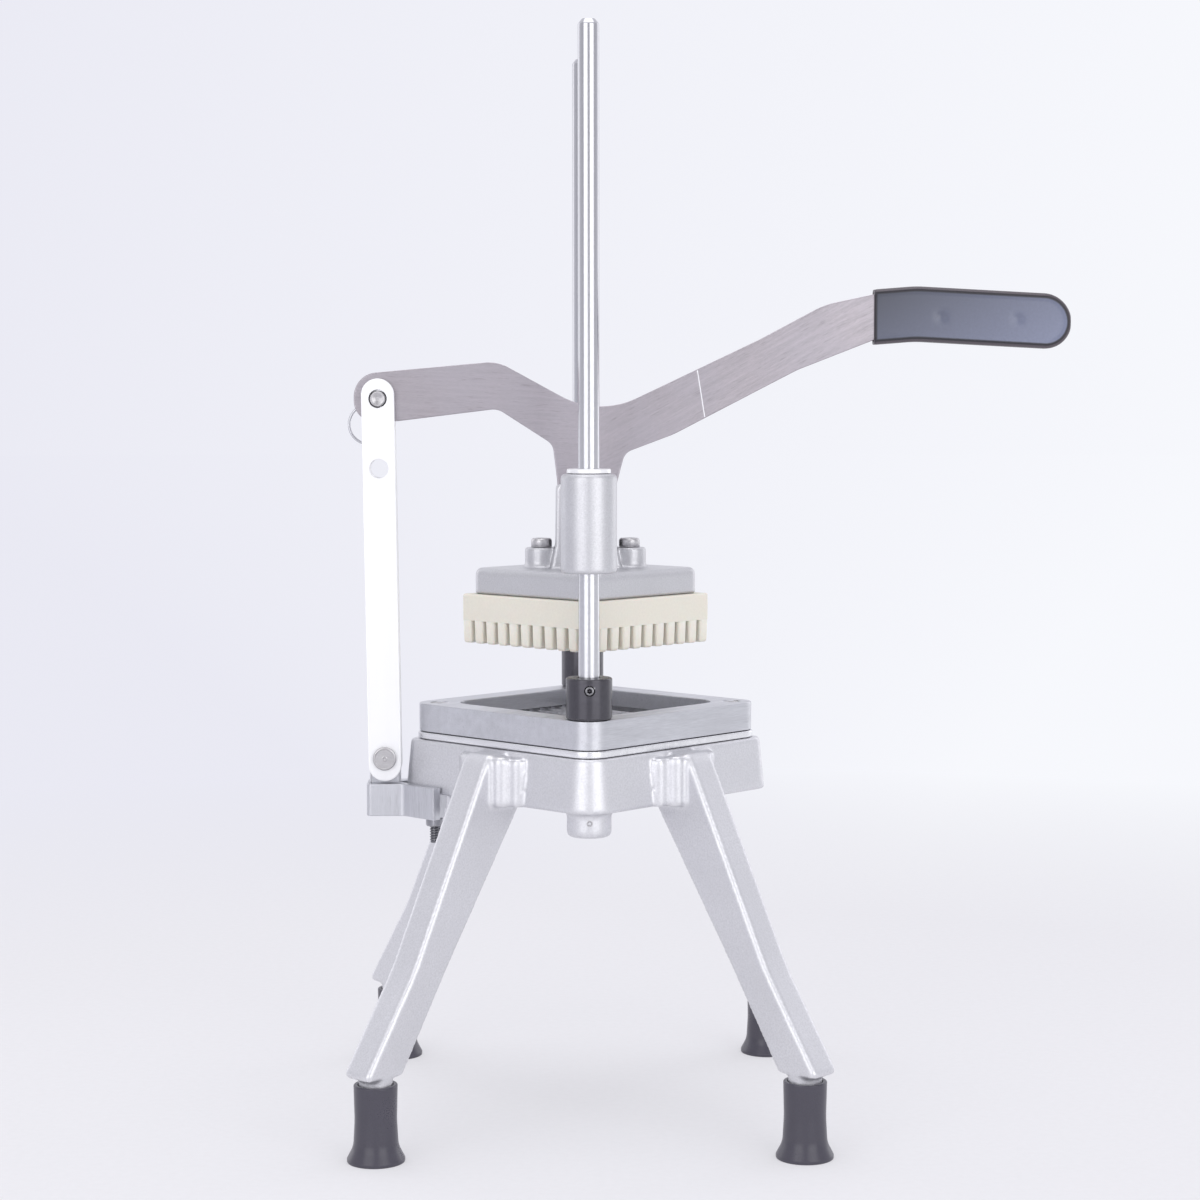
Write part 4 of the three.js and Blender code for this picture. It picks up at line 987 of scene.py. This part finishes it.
class DICER_OT_bracket(bpy.types.Operator):
    """Bracket that carries the link, its two threaded studs and their nuts"""

    bl_idname = "dicer.bracket"
    bl_label = "Link bracket"

    def execute(self, context):
        low = span("link_bracket")[0][2]
        top = BASE_TOP - 22
        edge = context.scene.dicer_sizes.machined_edge / MM
        foot_x = LINK_FOOT[0] - AXIS_X
        inside = RING_CORNER_X + 0.6
        outside = inside + 5 * math.sqrt(2)
        tip = 22 + 5 / math.sqrt(2)
        arm, bend = tip - outside, 10 - outside
        plan = rounded([
            (foot_x - 9, 10, 2.6), (foot_x - 9, -10, 2.6), (bend, -10, 3.4), (arm, -tip, 0.6),
            (22 - inside, -22, 0.6), (-inside, 0, 2), (22 - inside, 22, 0.6),
            (arm, tip, 0.6), (bend, 10, 3.4),
        ], 8)
        start = inside + 1
        web = rounded([
            (-start, 0, 0.3), (20 - start, -20, 0.3), (25 - start, -15, 0.5),
            (11 - start, 0, 2), (25 - start, 15, 0.5), (20 - start, 20, 0.3),
        ], 5)
        tab_left, tab_right, tab_top = foot_x - TAB_HALF, foot_x + TAB_HALF, LINK_FOOT[1] + 8.1
        tab = rounded([
            (tab_left, top - 2, 0.5), (tab_right, top - 2, 0.5),
            (tab_right, tab_top, 7), (tab_left, tab_top, 7),
        ], 10)
        hole = circle(3.6, foot_x, LINK_FOOT[1])
        shift = (AXIS_X, 0, 0)
        parts = [
            plate([wall(plan, edged(low, top, edge))]),
            plate([wall(web, edged(low + 0.2, RING_BOTTOM - 0.3, 0.3))]),
            plate([wall(tab, edged(-3, 3, edge), across), wall(hole, edged(-3, 3, 0.2, side=-1), across)]),
        ]
        parts = [moved(part, 0, shift) for part in parts]
        add_piece("bracket", parts, "base", ["link_bracket"], finish("bracket_milled"))
        for end, _ in ENDS:
            self.add_stud(end)
        return {"FINISHED"}

    def add_stud(self, end):
        """Stud: radius = root + depth times a triangle wave of (height / pitch - angle / full turn).
        Nut: a hexagon whose corners are trimmed by a cone at both ends."""
        pitch = sizes().thread_pitch / MM
        node, nut = f"bracket_stud_{end}", f"bracket_nut_{end}"
        x, y, _z = middle(node)
        low, high = span(node)[0][2], min(span(node)[1][2], RING_BOTTOM - 1)
        angle = np.linspace(0, 2 * math.pi, 48, endpoint=False)
        height = np.arange(low, span(nut)[1][2] + 1, pitch / 10)
        wave = np.abs(((height[:, None] / pitch - angle / (2 * math.pi)) % 1) * 2 - 1)
        radius = THREAD_ROOT + THREAD_DEPTH * wave
        radius *= np.clip(0.75 + (height - low) / 3, 0, 1)[:, None]
        level = np.broadcast_to(height[:, None], radius.shape)
        grid = upright(x + radius * np.cos(angle), y + radius * np.sin(angle), level)
        shank = circle(SHANK_RADIUS, x, y)
        shank = upright(*shank.T, np.full(angle.shape, high))
        stud = plate([np.concatenate([grid, shank[None]])])
        add_piece(f"stud_{end}", [stud], "base", [node], finish("stud_black"))
        low, high = span(nut)[0][2], span(nut)[1][2]
        bore, flat, corner = 2.4, 4.1, 4.6
        rows = [
            (bore, low), (3.9, low), (corner, low + 0.7), (corner, high - 0.5),
            (flat, high), (bore, high), (bore, low),
        ]
        hexes = [NO_HEX, flat, flat, flat, flat, NO_HEX, NO_HEX]
        body = turned(rows, x, y, hexes=hexes, segments=72)
        add_piece(f"nut_{end}", [body], "base", [nut], finish("nut_zinc"))


# ---------------------------------------------------------------- pusher head

HEAD_HALF = 40.6
HEAD_CORNER = 6.5
BOSS_RADIUS = 8.2
BOSS_HEIGHT = 10
SLEEVE_RADIUS = 13.25
SLEEVE_BORE = 7.7
BUSH_RADIUS = 7.4
BUSH_FLANGE = 10.4
PIVOT_HEAD = 6.5
EAR_FACE = 12.8  # where a pivot bolt's head sits, from the middle plane
# outlines round an ear and a rib: (distance from the axis, height above the plate, rounding)
EAR = [(-17.6, -1, 0.5), (17.6, -1, 0.5), (15.0, 12, 8), (14.6, 42, 3), (-14.6, 42, 3), (-15.0, 12, 8)]
RIB = [
    (4.5, -1), (49.3, -1, 0.5), (55.3, 2, 1), (63, 2, 0.5), (63, 40.6, 0.5),
    (54.8, 38.6, 6), (28.5, 27.2, 2.5), (26.6, 16.9, 3), (4.5, 16.9),
]
BOLT_OFFSET = 21.9


def head_bodies():
    """Plate, sleeves, ears, ribs and bolt bosses of the head, as closed bodies that overlap."""
    top_edge = sizes().head_edge / MM
    slab = diamond(HEAD_HALF, [HEAD_CORNER] * 4)
    bodies = [plate([wall(slab, edged(HEAD_BOTTOM - 0.15, HEAD_TOP, 0.1, top_edge, 7))])]
    sleeve_top = span("head_casting")[1][2]
    sleeve_low = HEAD_TOP + 2
    for end, side in ENDS:
        x, y, _z = middle(f"guide_rod_{end}")
        bottom, top = (SLEEVE_BORE, sleeve_low), (SLEEVE_BORE, sleeve_top)
        rows = [bottom, (SLEEVE_RADIUS, sleeve_low, 1.2), (SLEEVE_RADIUS, sleeve_top, 2.0), top, bottom]
        bodies.append(lathe(rows, x, y, segments=96))
        loop = rounded([(side * u, HEAD_TOP + v, *r) for u, v, *r in RIB], 8)
        rib = plate([wall(loop, edged(-6, 6, 1.5), lengthwise)])
        bodies.append(moved(rib, 0, (AXIS_X, 0, 0)))
        near, far = sorted((side * 3.5, side * 12.5))
        loop = rounded([(u, HEAD_TOP + v, r) for u, v, r in EAR], 8)
        bodies.append(moved(plate([wall(loop, edged(near, far, 0.9), across)]), 0, (AXIS_X, 0, 0)))
    for side in (-1, 1):
        low, high = HEAD_TOP - 1, HEAD_TOP + BOSS_HEIGHT
        boss = [(0, low), (BOSS_RADIUS, low), (BOSS_RADIUS, high, 0.7), (0, high)]
        bodies.append(lathe(boss, AXIS_X + side * BOLT_OFFSET, 0, segments=64))
        foot = [(0, low), (10.2, low), (9.0, HEAD_TOP + 0.7, 1), (8.0, HEAD_TOP + 2.4), (0, HEAD_TOP + 2.4)]
        bodies.append(lathe(foot, AXIS_X + side * BOLT_OFFSET, 0, segments=64))
    return bodies


class DICER_OT_head(bpy.types.Operator):
    """Pusher head casting with its bushes, bolts and lever pivots"""

    bl_idname = "dicer.head"
    bl_label = "Pusher head"

    def execute(self, context):
        size = context.scene.dicer_sizes
        fine, passes = size.head_detail, size.casting_passes
        add_casting("head_shell", head_bodies(), "head", ["head_casting"], finish("head_cast"), fine, passes)
        for end, side in ENDS:
            node = f"rod_bush_{end}"
            x, y, _z = middle(node)
            low, top = span(node)[0][2], span(node)[1][2]
            rows = [
                (ROD_HOLE, low), (BUSH_RADIUS, low, 0.2), (BUSH_RADIUS, top - 2, 0.1),
                (BUSH_FLANGE, top - 2, 0.3), (BUSH_FLANGE, top, 0.4), (ROD_HOLE, top, 0.4), (ROD_HOLE, low),
            ]
            add_piece(f"bush_{end}", [lathe(rows, x, y, segments=96)], "head", [node], finish("bush_bright"))
            self.add_pivot(end, side)
        for end in ("left", "right"):
            self.add_bolt(end)
        return {"FINISHED"}

    def add_pivot(self, end, side):
        """Half of the pivot bolt, with a domed head on the outer face of its ear."""
        node = f"lever_pivot_{end}"
        x, _y, z = middle(node)
        inner, outer = depths(node, side)
        rows = [
            (0, inner), (4, inner), (4, side * EAR_FACE), (PIVOT_HEAD, side * EAR_FACE, 0.2),
            (PIVOT_HEAD, outer - side * 0.6, 1.2), (3.2, outer, 1), (0, outer),
        ]
        add_piece(f"pivot_bolt_{end}", [lathe(rows, x, z, "Y")], "head", [node], finish("fastener_zinc"))

    def add_bolt(self, end):
        """Bolt with a low round head and a hexagon socket."""
        node = f"head_bolt_{end}"
        x, y, _z = middle(node)
        low, top = span(node)[0][2], span(node)[1][2]
        seat = HEAD_TOP + BOSS_HEIGHT + 0.3
        rows = [
            (0, low), (2.5, low), (2.5, seat), (5.2, seat), (5.2, top - 1.3), (4.9, top - 0.5), (4.3, top),
            (3.1, top), (2.9, top - 0.2), (2.8, top - 2.6), (0, top - 2.8),
        ]
        hexes = [NO_HEX] * 7 + [2.7, 2.55, 2.5, 2.5]
        bolt = turned(rows, x, y, hexes=hexes, segments=72)
        add_piece(f"plate_bolt_{end}", [bolt], "head", [node], finish("fastener_zinc"))


class DICER_OT_pusher(bpy.types.Operator):
    """Ivory pusher block with eleven rows of square teeth"""

    bl_idname = "dicer.pusher"
    bl_label = "Pusher block"

    teeth_in_a_row = 11
    tooth_length = 13.1

    def execute(self, context):
        pitch, slot = sizes().tooth_pitch / MM, sizes().tooth_slot / MM
        teeth = self.teeth_in_a_row
        low, top = span("pusher_block")[0][2], span("pusher_block")[1][2]
        root = top - self.tooth_length
        half = (teeth * pitch - slot) / 2
        block = diamond(half, [1.2] * 4, 5)
        parts = [plate([wall(block, edged(root, top, 0.02, 0.9, 4))])]
        tooth_half = (pitch - slot) / 2
        tooth = diamond(tooth_half, [1.5] * 4, 5)
        profile = [(0, root), (-0.35, low + 1.6), (-0.5, low + 0.9), (-0.85, low + 0.3), (-1.35, low)]
        body, faces = plate([wall(tooth, profile)])
        steps = (np.arange(teeth) - teeth // 2) * pitch / math.sqrt(2)
        parts += [(body + [a - b, a + b, 0], faces) for a in steps for b in steps]
        add_piece("pusher", parts, "head", ["pusher_block"], finish("pusher_ivory"))
        return {"FINISHED"}


# ---------------------------------------------------------------- link and quick-release pin

SPARE_HOLE_DROP = 34.4
LINK_HALF = 8.15
LINK_ABOVE, LINK_BELOW = 10, 11.4  # how far a bar goes past its upper and its lower joint


def along_link(drop, beside):
    """Points a distance down the link from the lever's joint, and beside its middle line."""
    way = unit((LINK_FOOT - LINK_TOP)[None])[0]
    return LINK_TOP + np.outer(drop, way) + np.outer(beside, [-way[1], way[0]])


class DICER_OT_link(bpy.types.Operator):
    """Two flat link bars and the rivet at their foot"""

    bl_idname = "dicer.link"
    bl_label = "Link"

    def execute(self, context):
        edge = context.scene.dicer_sizes.machined_edge / MM
        run = float(np.hypot(*(LINK_FOOT - LINK_TOP)))
        half = LINK_HALF
        start, last = -LINK_ABOVE, run + LINK_BELOW
        corners = [(start, -half), (last, -half), (last, half), (start, half)]
        bar = rounded([(*corner, half) for corner in corners], 24)
        loop = along_link(bar[:, 0], bar[:, 1])
        spare = along_link([SPARE_HOLE_DROP], [0])[0]
        holes = [circle(4.45, *LINK_TOP), circle(4.7, *spare), circle(3.6, *LINK_FOOT)]
        for end, _ in ENDS:
            near, far = span(f"link_bar_{end}")[0][1], span(f"link_bar_{end}")[1][1]
            walls = [wall(loop, edged(near, far, edge, leads=WIDE_LEADS), across)]
            walls += [wall(hole, edged(near, far, 0.35, side=-1, leads=WIDE_LEADS), across) for hole in holes]
            add_piece(f"bar_{end}", [plate(walls)], "link", [f"link_bar_{end}"], finish("link_polish"))
        reach = span("link_rivet")[1][1]
        face = reach - 2
        half_rows = [
            (3.3, face), (5.8, face, 0.1), (5.8, reach - 0.3, 0.5), (5.0, reach, 0.3),
            (4.6, reach - 0.35, 0.3), (1.5, reach - 0.3, 0.3), (1.0, reach - 0.05, 0.3),
            (0.6, reach - 0.4, 0.3), (0, reach - 0.45),
        ]
        rows = [(r[0], -r[1], *r[2:]) for r in half_rows[::-1]] + half_rows
        rivet = lathe(rows, *LINK_FOOT, "Y", 72)
        add_piece("rivet", [rivet], "link", ["link_rivet"], finish("fastener_zinc"))
        return {"FINISHED"}


class DICER_OT_release_pin(bpy.types.Operator):
    """Quick-release pin with its tongue and pull ring"""

    bl_idname = "dicer.release_pin"
    bl_label = "Release pin"

    lean = 0.41  # the ring hangs this much to the left, in radians

    def execute(self, context):
        front, rear = span("release_pin")[0][1], span("release_pin")[1][1]
        rows = [
            (0, front + 0.75), (1.1, front + 0.7, 0.4), (2.7, front + 0.1, 0.8), (3.3, front, 0.4),
            (3.7, front + 0.4, 0.4), (PIN_RADIUS, front + 1.2, 0.4), (PIN_RADIUS, rear - 5.2, 0.2),
            (2.7, rear - 4.8, 0.2), (2.7, rear, 0.8), (0, rear),
        ]
        start = rear - 5
        tongue = rounded([(start, 0, 0.3), (start, -7.4, 1.2), (rear, -7.4, 1.2), (rear, 0, 0.3)], 6)
        eye = circle(1.45, middle("pull_ring")[1], -4.2, 24)
        thick = 1.4
        outside = wall(tongue, edged(-thick, thick, 0.3), lengthwise)
        flag = plate([outside, wall(eye, edged(-thick, thick, 0.25, side=-1), lengthwise)])
        cos, sin = math.cos(self.lean), math.sin(self.lean)
        turn = np.array([[cos, 0, sin], [0, 1, 0], [-sin, 0, cos]])
        points = flag[0] @ turn.T + [LINK_TOP[0], 0, LINK_TOP[1]]
        parts = [lathe(rows, *LINK_TOP, "Y"), (points, flag[1])]
        add_piece("quick_pin", parts, "release_pin", ["release_pin"], finish("fastener_zinc"))
        add_piece("pull_wire", [self.wire()], "pull_ring", ["pull_ring"], finish("rod_steel"))
        return {"FINISHED"}

    def wire(self):
        """Ring: a circle of the wire's radius carried round a larger circle in the XZ plane."""
        low, high = span("pull_ring")
        thin = sizes().ring_wire / MM / 2
        x, y, z = (low + high) / 2
        large = (high[2] - low[2]) / 2 - thin
        round_ring = np.linspace(0, 2 * math.pi, 97)
        round_wire = np.linspace(0, 2 * math.pi, 16, endpoint=False)
        around, small = np.meshgrid(round_ring, round_wire, indexing="ij")
        radius = large + thin * np.cos(small)
        beside, above = radius * np.cos(around), radius * np.sin(around)
        grid = np.stack([x + beside, y + thin * np.sin(small), z + above], -1)
        return grid.reshape(-1, 3), grid_faces(*around.shape).tolist()


# ---------------------------------------------------------------- lever and grip

# heights of the handle's middle line above the pivot, and their distances from the cutting axis
HANDLE_RISE, HANDLE_CREST, HANDLE_FALL = 99.4, 101.0, 96.8
HANDLE_MIDDLE, GRIP_START, HANDLE_TIP = 164.0, 143.2, 239.2
HANDLE_HALF = 11.3
GRIP_HALF = 13.7
GRIP_LIP = 1.6  # length of the rounded lip at the grip's mouth
GRIP_DIMPLES = ((176.2, -0.9), (214.2, 0.1))  # (distance from the cutting axis, height above the middle line)
GRIP_PAST = 2.4  # the grip goes on this far past the handle


def lever_outline():
    """Outline of the lever: X from the cutting axis, height above the lever's pivot."""
    x, z, end = LINK_TOP[0] - AXIS_X, LINK_TOP[1] - PIVOT_Z, 12
    half = HANDLE_HALF
    corners = [
        (x - end, z - end, end), (x + 10, z - end + 1, 20), (-43.5, 54.2, 9), (-16.2, 36.6, 7),
        (-14.2, 20, 12), (-11, -11, 11), (11, -11, 11), (15.8, 18, 12), (19.6, 32.4, 7), (44, 41.6, 40),
        (105, 73.2, 50),
        (GRIP_START, HANDLE_RISE - half, 5), (HANDLE_MIDDLE, HANDLE_CREST - half, 60),
        (HANDLE_TIP, HANDLE_FALL - half, half), (HANDLE_TIP, HANDLE_FALL + half, half),
        (HANDLE_MIDDLE, HANDLE_CREST + half, 60), (GRIP_START, HANDLE_RISE + half, 5),
        (119, 105.6, 40), (87, 88.6, 60), (6.4, 50.3, 42), (-43.5, 77.6, 20), (x - end, z + end, end),
    ]
    return rounded(corners, 14)


def grip_surface(rim):
    """Dipped grip. Rows run along the handle and columns round its section.
    A point's half thickness depends on its distance d inside the outline: a quarter circle over the
    rim, then a face sunk a little below it, less two shallow dimples shaped as exp(-distance squared)."""
    tip = HANDLE_TIP + GRIP_PAST
    centre = tip - GRIP_HALF
    round_end = np.linspace(0, math.pi / 2, 30)[1:]
    lip_end = GRIP_START + GRIP_LIP
    straight = [np.linspace(GRIP_START, lip_end, 7)[:-1], np.linspace(lip_end, centre, 88)]
    x = np.concatenate([*straight, centre + GRIP_HALF * np.sin(round_end)])
    round_half = np.sqrt(np.maximum(GRIP_HALF**2 - np.maximum(x - centre, 0) ** 2, 0))
    half = np.where(x > centre, round_half, GRIP_HALF)
    way = np.linspace(-1, 1, 49)
    share = np.sin(way * math.pi / 2)
    across_share = np.concatenate([share, share[::-1][1:-1]])
    side = np.concatenate([-np.ones(49), np.ones(47)])
    offset = half[:, None] * across_share[None]
    past = np.maximum(x - centre, 0)[:, None]
    depth = np.maximum(GRIP_HALF - np.hypot(past, offset), 0)
    full = span("lever_grip")[1][1]
    edge = np.sqrt(np.maximum(1 - (1 - np.minimum(depth / rim, 1)) ** 2, 0))
    sink = np.clip((depth - rim) / 2.2, 0, 1)
    thick = full * 0.42 + full * 0.58 * edge - 0.4 * sink**2 * (3 - 2 * sink)
    thick = np.where(depth < 1e-6, full * 0.42, thick)
    for place, lift in GRIP_DIMPLES:
        near = (x[:, None] - place) ** 2 + (offset - lift) ** 2
        thick = thick - 0.75 * np.exp(-near / 2.4**2)
    lip = np.clip(1 - (x - GRIP_START) / GRIP_LIP, 0, 1)[:, None]
    thick = thick - (1 - np.sqrt(1 - lip**2)) * (thick / full)
    close = np.sqrt(np.clip((tip - x) / 0.6, 0, 1))[:, None]
    y = side[None] * thick * close
    bend = np.interp(x, *handle_line())[:, None]
    z = bend + offset * (1 - 0.012 * lip)
    grid = np.stack([np.broadcast_to(x[:, None], y.shape), y, z], -1)
    mouth_half = side * np.minimum(3.2, np.abs(grid[0, :, 1]))
    mouth_height = bend[0] + across_share * (HANDLE_HALF + 0.2)
    mouth = np.stack([np.full(len(side), GRIP_START), mouth_half, mouth_height], -1)
    inner = mouth + [4, 0, 0]
    grid = np.concatenate([inner[None], mouth[None], grid])
    return grid + [AXIS_X, 0, PIVOT_Z]


def mark_rim(mesh):
    """Stores each point's distance inside the grip's outline, in millimetres, as its rim depth:
    the half height less the distance from the middle line, or from the centre of the round tip."""
    places = np.zeros(len(mesh.vertices) * 3, np.float32)
    mesh.vertices.foreach_get("co", places)
    x, _y, z = places.reshape(-1, 3).T / MM - np.array([[AXIS_X], [0], [PIVOT_Z]])
    past = np.maximum(x - (HANDLE_TIP + GRIP_PAST - GRIP_HALF), 0)
    depth = GRIP_HALF - np.hypot(past, z - np.interp(x, *handle_line()))
    depth = np.minimum(depth, x - GRIP_START + 1.3)
    mesh.attributes.new("rim_depth", "FLOAT", "POINT").data.foreach_set("value", depth.astype(np.float32))


def handle_line():
    """Middle line of the handle, as matching X and height values."""
    corners = [(GRIP_START, HANDLE_RISE), (HANDLE_MIDDLE, HANDLE_CREST, 60), (HANDLE_TIP + 3, HANDLE_FALL)]
    line = rounded(corners, 16, closed=False)
    return line[:, 0], line[:, 1]


class DICER_OT_lever(bpy.types.Operator):
    """Brushed lever plate and its dipped grip"""

    bl_idname = "dicer.lever"
    bl_label = "Lever and grip"

    def execute(self, context):
        size = context.scene.dicer_sizes
        loop = lever_outline() + [AXIS_X, PIVOT_Z]
        walls = [
            wall(loop, edged(-3, 3, size.machined_edge / MM, leads=WIDE_LEADS), across),
            wall(circle(4.4, *LINK_TOP), edged(-3, 3, 0.3, side=-1, leads=WIDE_LEADS), across),
        ]
        add_piece("lever_plate", [plate(walls)], "lever", ["lever"], finish("lever_brushed"))
        grid = grip_surface(size.grip_rim / MM)
        grip = add_piece("grip", [plate([grid])], "lever", ["lever_grip"], finish("grip_vinyl"))
        mark_rim(grip.data)
        return {"FINISHED"}


# ---------------------------------------------------------------- stage

FLOOR_FADE = (0.5, 1.2)  # distances between which the floor turns into the backdrop, in metres
NEAR_GLOW = (0.425, 0.42, 0.43)  # light that the floor gives off near the object
BACKDROP_LEFT, BACKDROP_RIGHT = (0.82, 0.82, 0.90), (0.93, 0.94, 0.98)
ROOM_FRONT, ROOM_REAR = (0.50, 0.50, 0.54), (0.86, 0.86, 0.92)


def backdrop_colour(w, beside):
    """Colour of the backdrop: it brightens to the right."""
    return w.blend(w.spread(beside, -0.24, 0.27), rgba(BACKDROP_LEFT), rgba(BACKDROP_RIGHT))


class DICER_OT_stage(bpy.types.Operator):
    """Pale floor, soft studio lights and the camera"""

    bl_idname = "dicer.stage"
    bl_label = "Stage"

    def execute(self, context):
        self.add_camera(context.scene)
        self.add_floor()
        self.add_lights()
        self.add_world(context.scene)
        context.scene.view_settings.view_transform = "Standard"
        return {"FINISHED"}

    def add_camera(self, scene):
        data = bpy.data.cameras.new("camera")
        data.lens = 78.594
        data.sensor_width = 36
        data.clip_end = 60
        camera = bpy.data.objects.new("camera", data)
        yaw, heading, pitch, roll = 0.0224, 0.0280, 0.0762, 0.0007
        distance, height = 1.3041, 0.35455
        camera.location = (AXIS_X * MM - math.sin(yaw) * distance, -math.cos(yaw) * distance, height)
        camera.rotation_euler = (math.pi / 2 - pitch, roll, -heading)
        scene.collection.objects.link(camera)
        scene.camera = camera

    def add_floor(self):
        """Round floor, built of rings whose radius grows by a steady factor."""
        radius = np.concatenate([[0], np.geomspace(0.3, 16, 24)]) / MM
        rows = np.column_stack([radius, np.zeros(25)])
        points, faces = turned(rows, segments=96)
        mesh = bpy.data.meshes.new("floor")
        mesh.from_pydata((points * MM).tolist(), [], faces)
        floor = bpy.data.objects.new("floor", mesh)
        bpy.context.scene.collection.objects.link(floor)
        tone = colours().floor
        material, w, shader, place = start_material("floor", 0.0, Specular_IOR_Level=0.0)
        grain = w.group("grain", Vector=place, Size=0.004, Pits=0.0).outputs
        far = w.add("ShaderNodeVectorMath", {0: place}, operation="LENGTH").outputs["Value"]
        fade = w.spread(far, *FLOOR_FADE)
        base = w.blend(grain["Tone"], rgba(tone, 0.49), rgba(tone, 0.51))
        base = w.blend(fade, base, rgba((0, 0, 0)))
        surface(w, shader, base, w.spread(grain["Tone"], 0, 1, 0.55, 0.65), grain["Height"], 0.00002)
        parts = w.add("ShaderNodeSeparateXYZ", {0: place}).outputs
        beside = w.math("DIVIDE", parts[0], w.math("MAXIMUM", far, 0.01))
        glow = w.blend(fade, rgba(NEAR_GLOW), backdrop_colour(w, beside))
        w.link(glow, shader.inputs["Emission Color"])
        shader.inputs["Emission Strength"].default_value = 1.0
        mesh.materials.append(material)

    def add_lights(self):
        """Two tall panels beside the camera, one overhead, and two at the rear."""
        panels = (
            ("panel left", (-1.0, -1.55, 0.55), 1.3, 1.9, 11.5),
            ("panel right", (0.95, -1.55, 0.55), 1.3, 1.9, 12.5),
            ("panel top", (-0.1, -0.1, 2.0), 1.6, 1.6, 11.0),
            ("panel rear left", (-1.5, 1.1, 0.7), 0.8, 1.6, 2.5),
            ("panel rear right", (1.5, 1.1, 0.7), 0.8, 1.6, 3.0),
        )
        target = Vector((AXIS_X * MM, 0, 0.25))
        for name, place, width, height, power in panels:
            data = bpy.data.lights.new(name, "AREA")
            data.shape = "RECTANGLE"
            data.size, data.size_y = width, height
            data.energy = power
            light = bpy.data.objects.new(name, data)
            light.location = place
            light.rotation_euler = (target - Vector(place)).to_track_quat("-Z", "Y").to_euler()
            bpy.context.scene.collection.objects.link(light)

    def add_world(self, scene):
        """Pale background that brightens to the right; a greyer room lights the object."""
        world = bpy.data.worlds.new("studio")
        world.use_nodes = True
        world.node_tree.nodes.clear()
        w = Wiring(world.node_tree)
        direction = w.add("ShaderNodeTexCoord").outputs["Generated"]
        parts = w.add("ShaderNodeSeparateXYZ", {0: direction}).outputs
        seen = backdrop_colour(w, parts[0])
        room = w.blend(w.spread(parts[1], -0.6, 0.7), rgba(ROOM_FRONT), rgba(ROOM_REAR))
        camera_ray = w.add("ShaderNodeLightPath").outputs["Is Camera Ray"]
        shade = w.add("ShaderNodeBackground", {"Color": w.blend(camera_ray, room, seen)})
        output = w.add("ShaderNodeOutputWorld")
        world.node_tree.links.new(shade.outputs[0], output.inputs[0])
        scene.world = world


# ---------------------------------------------------------------- panel and running

OPERATORS = (
    DICER_OT_stage, DICER_OT_base, DICER_OT_feet, DICER_OT_cartridge, DICER_OT_rods, DICER_OT_bracket,
    DICER_OT_head, DICER_OT_pusher, DICER_OT_link, DICER_OT_release_pin, DICER_OT_lever,
)


class DICER_PT_panel(bpy.types.Panel):
    """Lists the dicer's pieces, sizes and colours"""

    bl_idname = "DICER_PT_panel"
    bl_label = "Vegetable dicer"
    bl_space_type = "VIEW_3D"
    bl_region_type = "UI"
    bl_category = "Dicer"

    def draw(self, context):
        column = self.layout.column()
        for operator in OPERATORS:
            column.operator(operator.bl_idname)
        for group in (context.scene.dicer_sizes, context.scene.dicer_colours):
            box = self.layout.box()
            for key in group.__annotations__:
                box.prop(group, key)


CLASSES = (DicerSizes, DicerColours, *OPERATORS, DICER_PT_panel)


def register():
    for each in CLASSES:
        bpy.utils.register_class(each)
    bpy.types.Scene.dicer_sizes = PointerProperty(type=DicerSizes)
    bpy.types.Scene.dicer_colours = PointerProperty(type=DicerColours)


def unregister():
    del bpy.types.Scene.dicer_colours
    del bpy.types.Scene.dicer_sizes
    for each in reversed(CLASSES):
        bpy.utils.unregister_class(each)


def main():
    register()
    for build in (grain_group, brushed_group, edge_group):
        build()
    for operator in OPERATORS:
        family, name = operator.bl_idname.split(".")
        getattr(getattr(bpy.ops, family), name)()


if __name__ == "__main__":
    main()
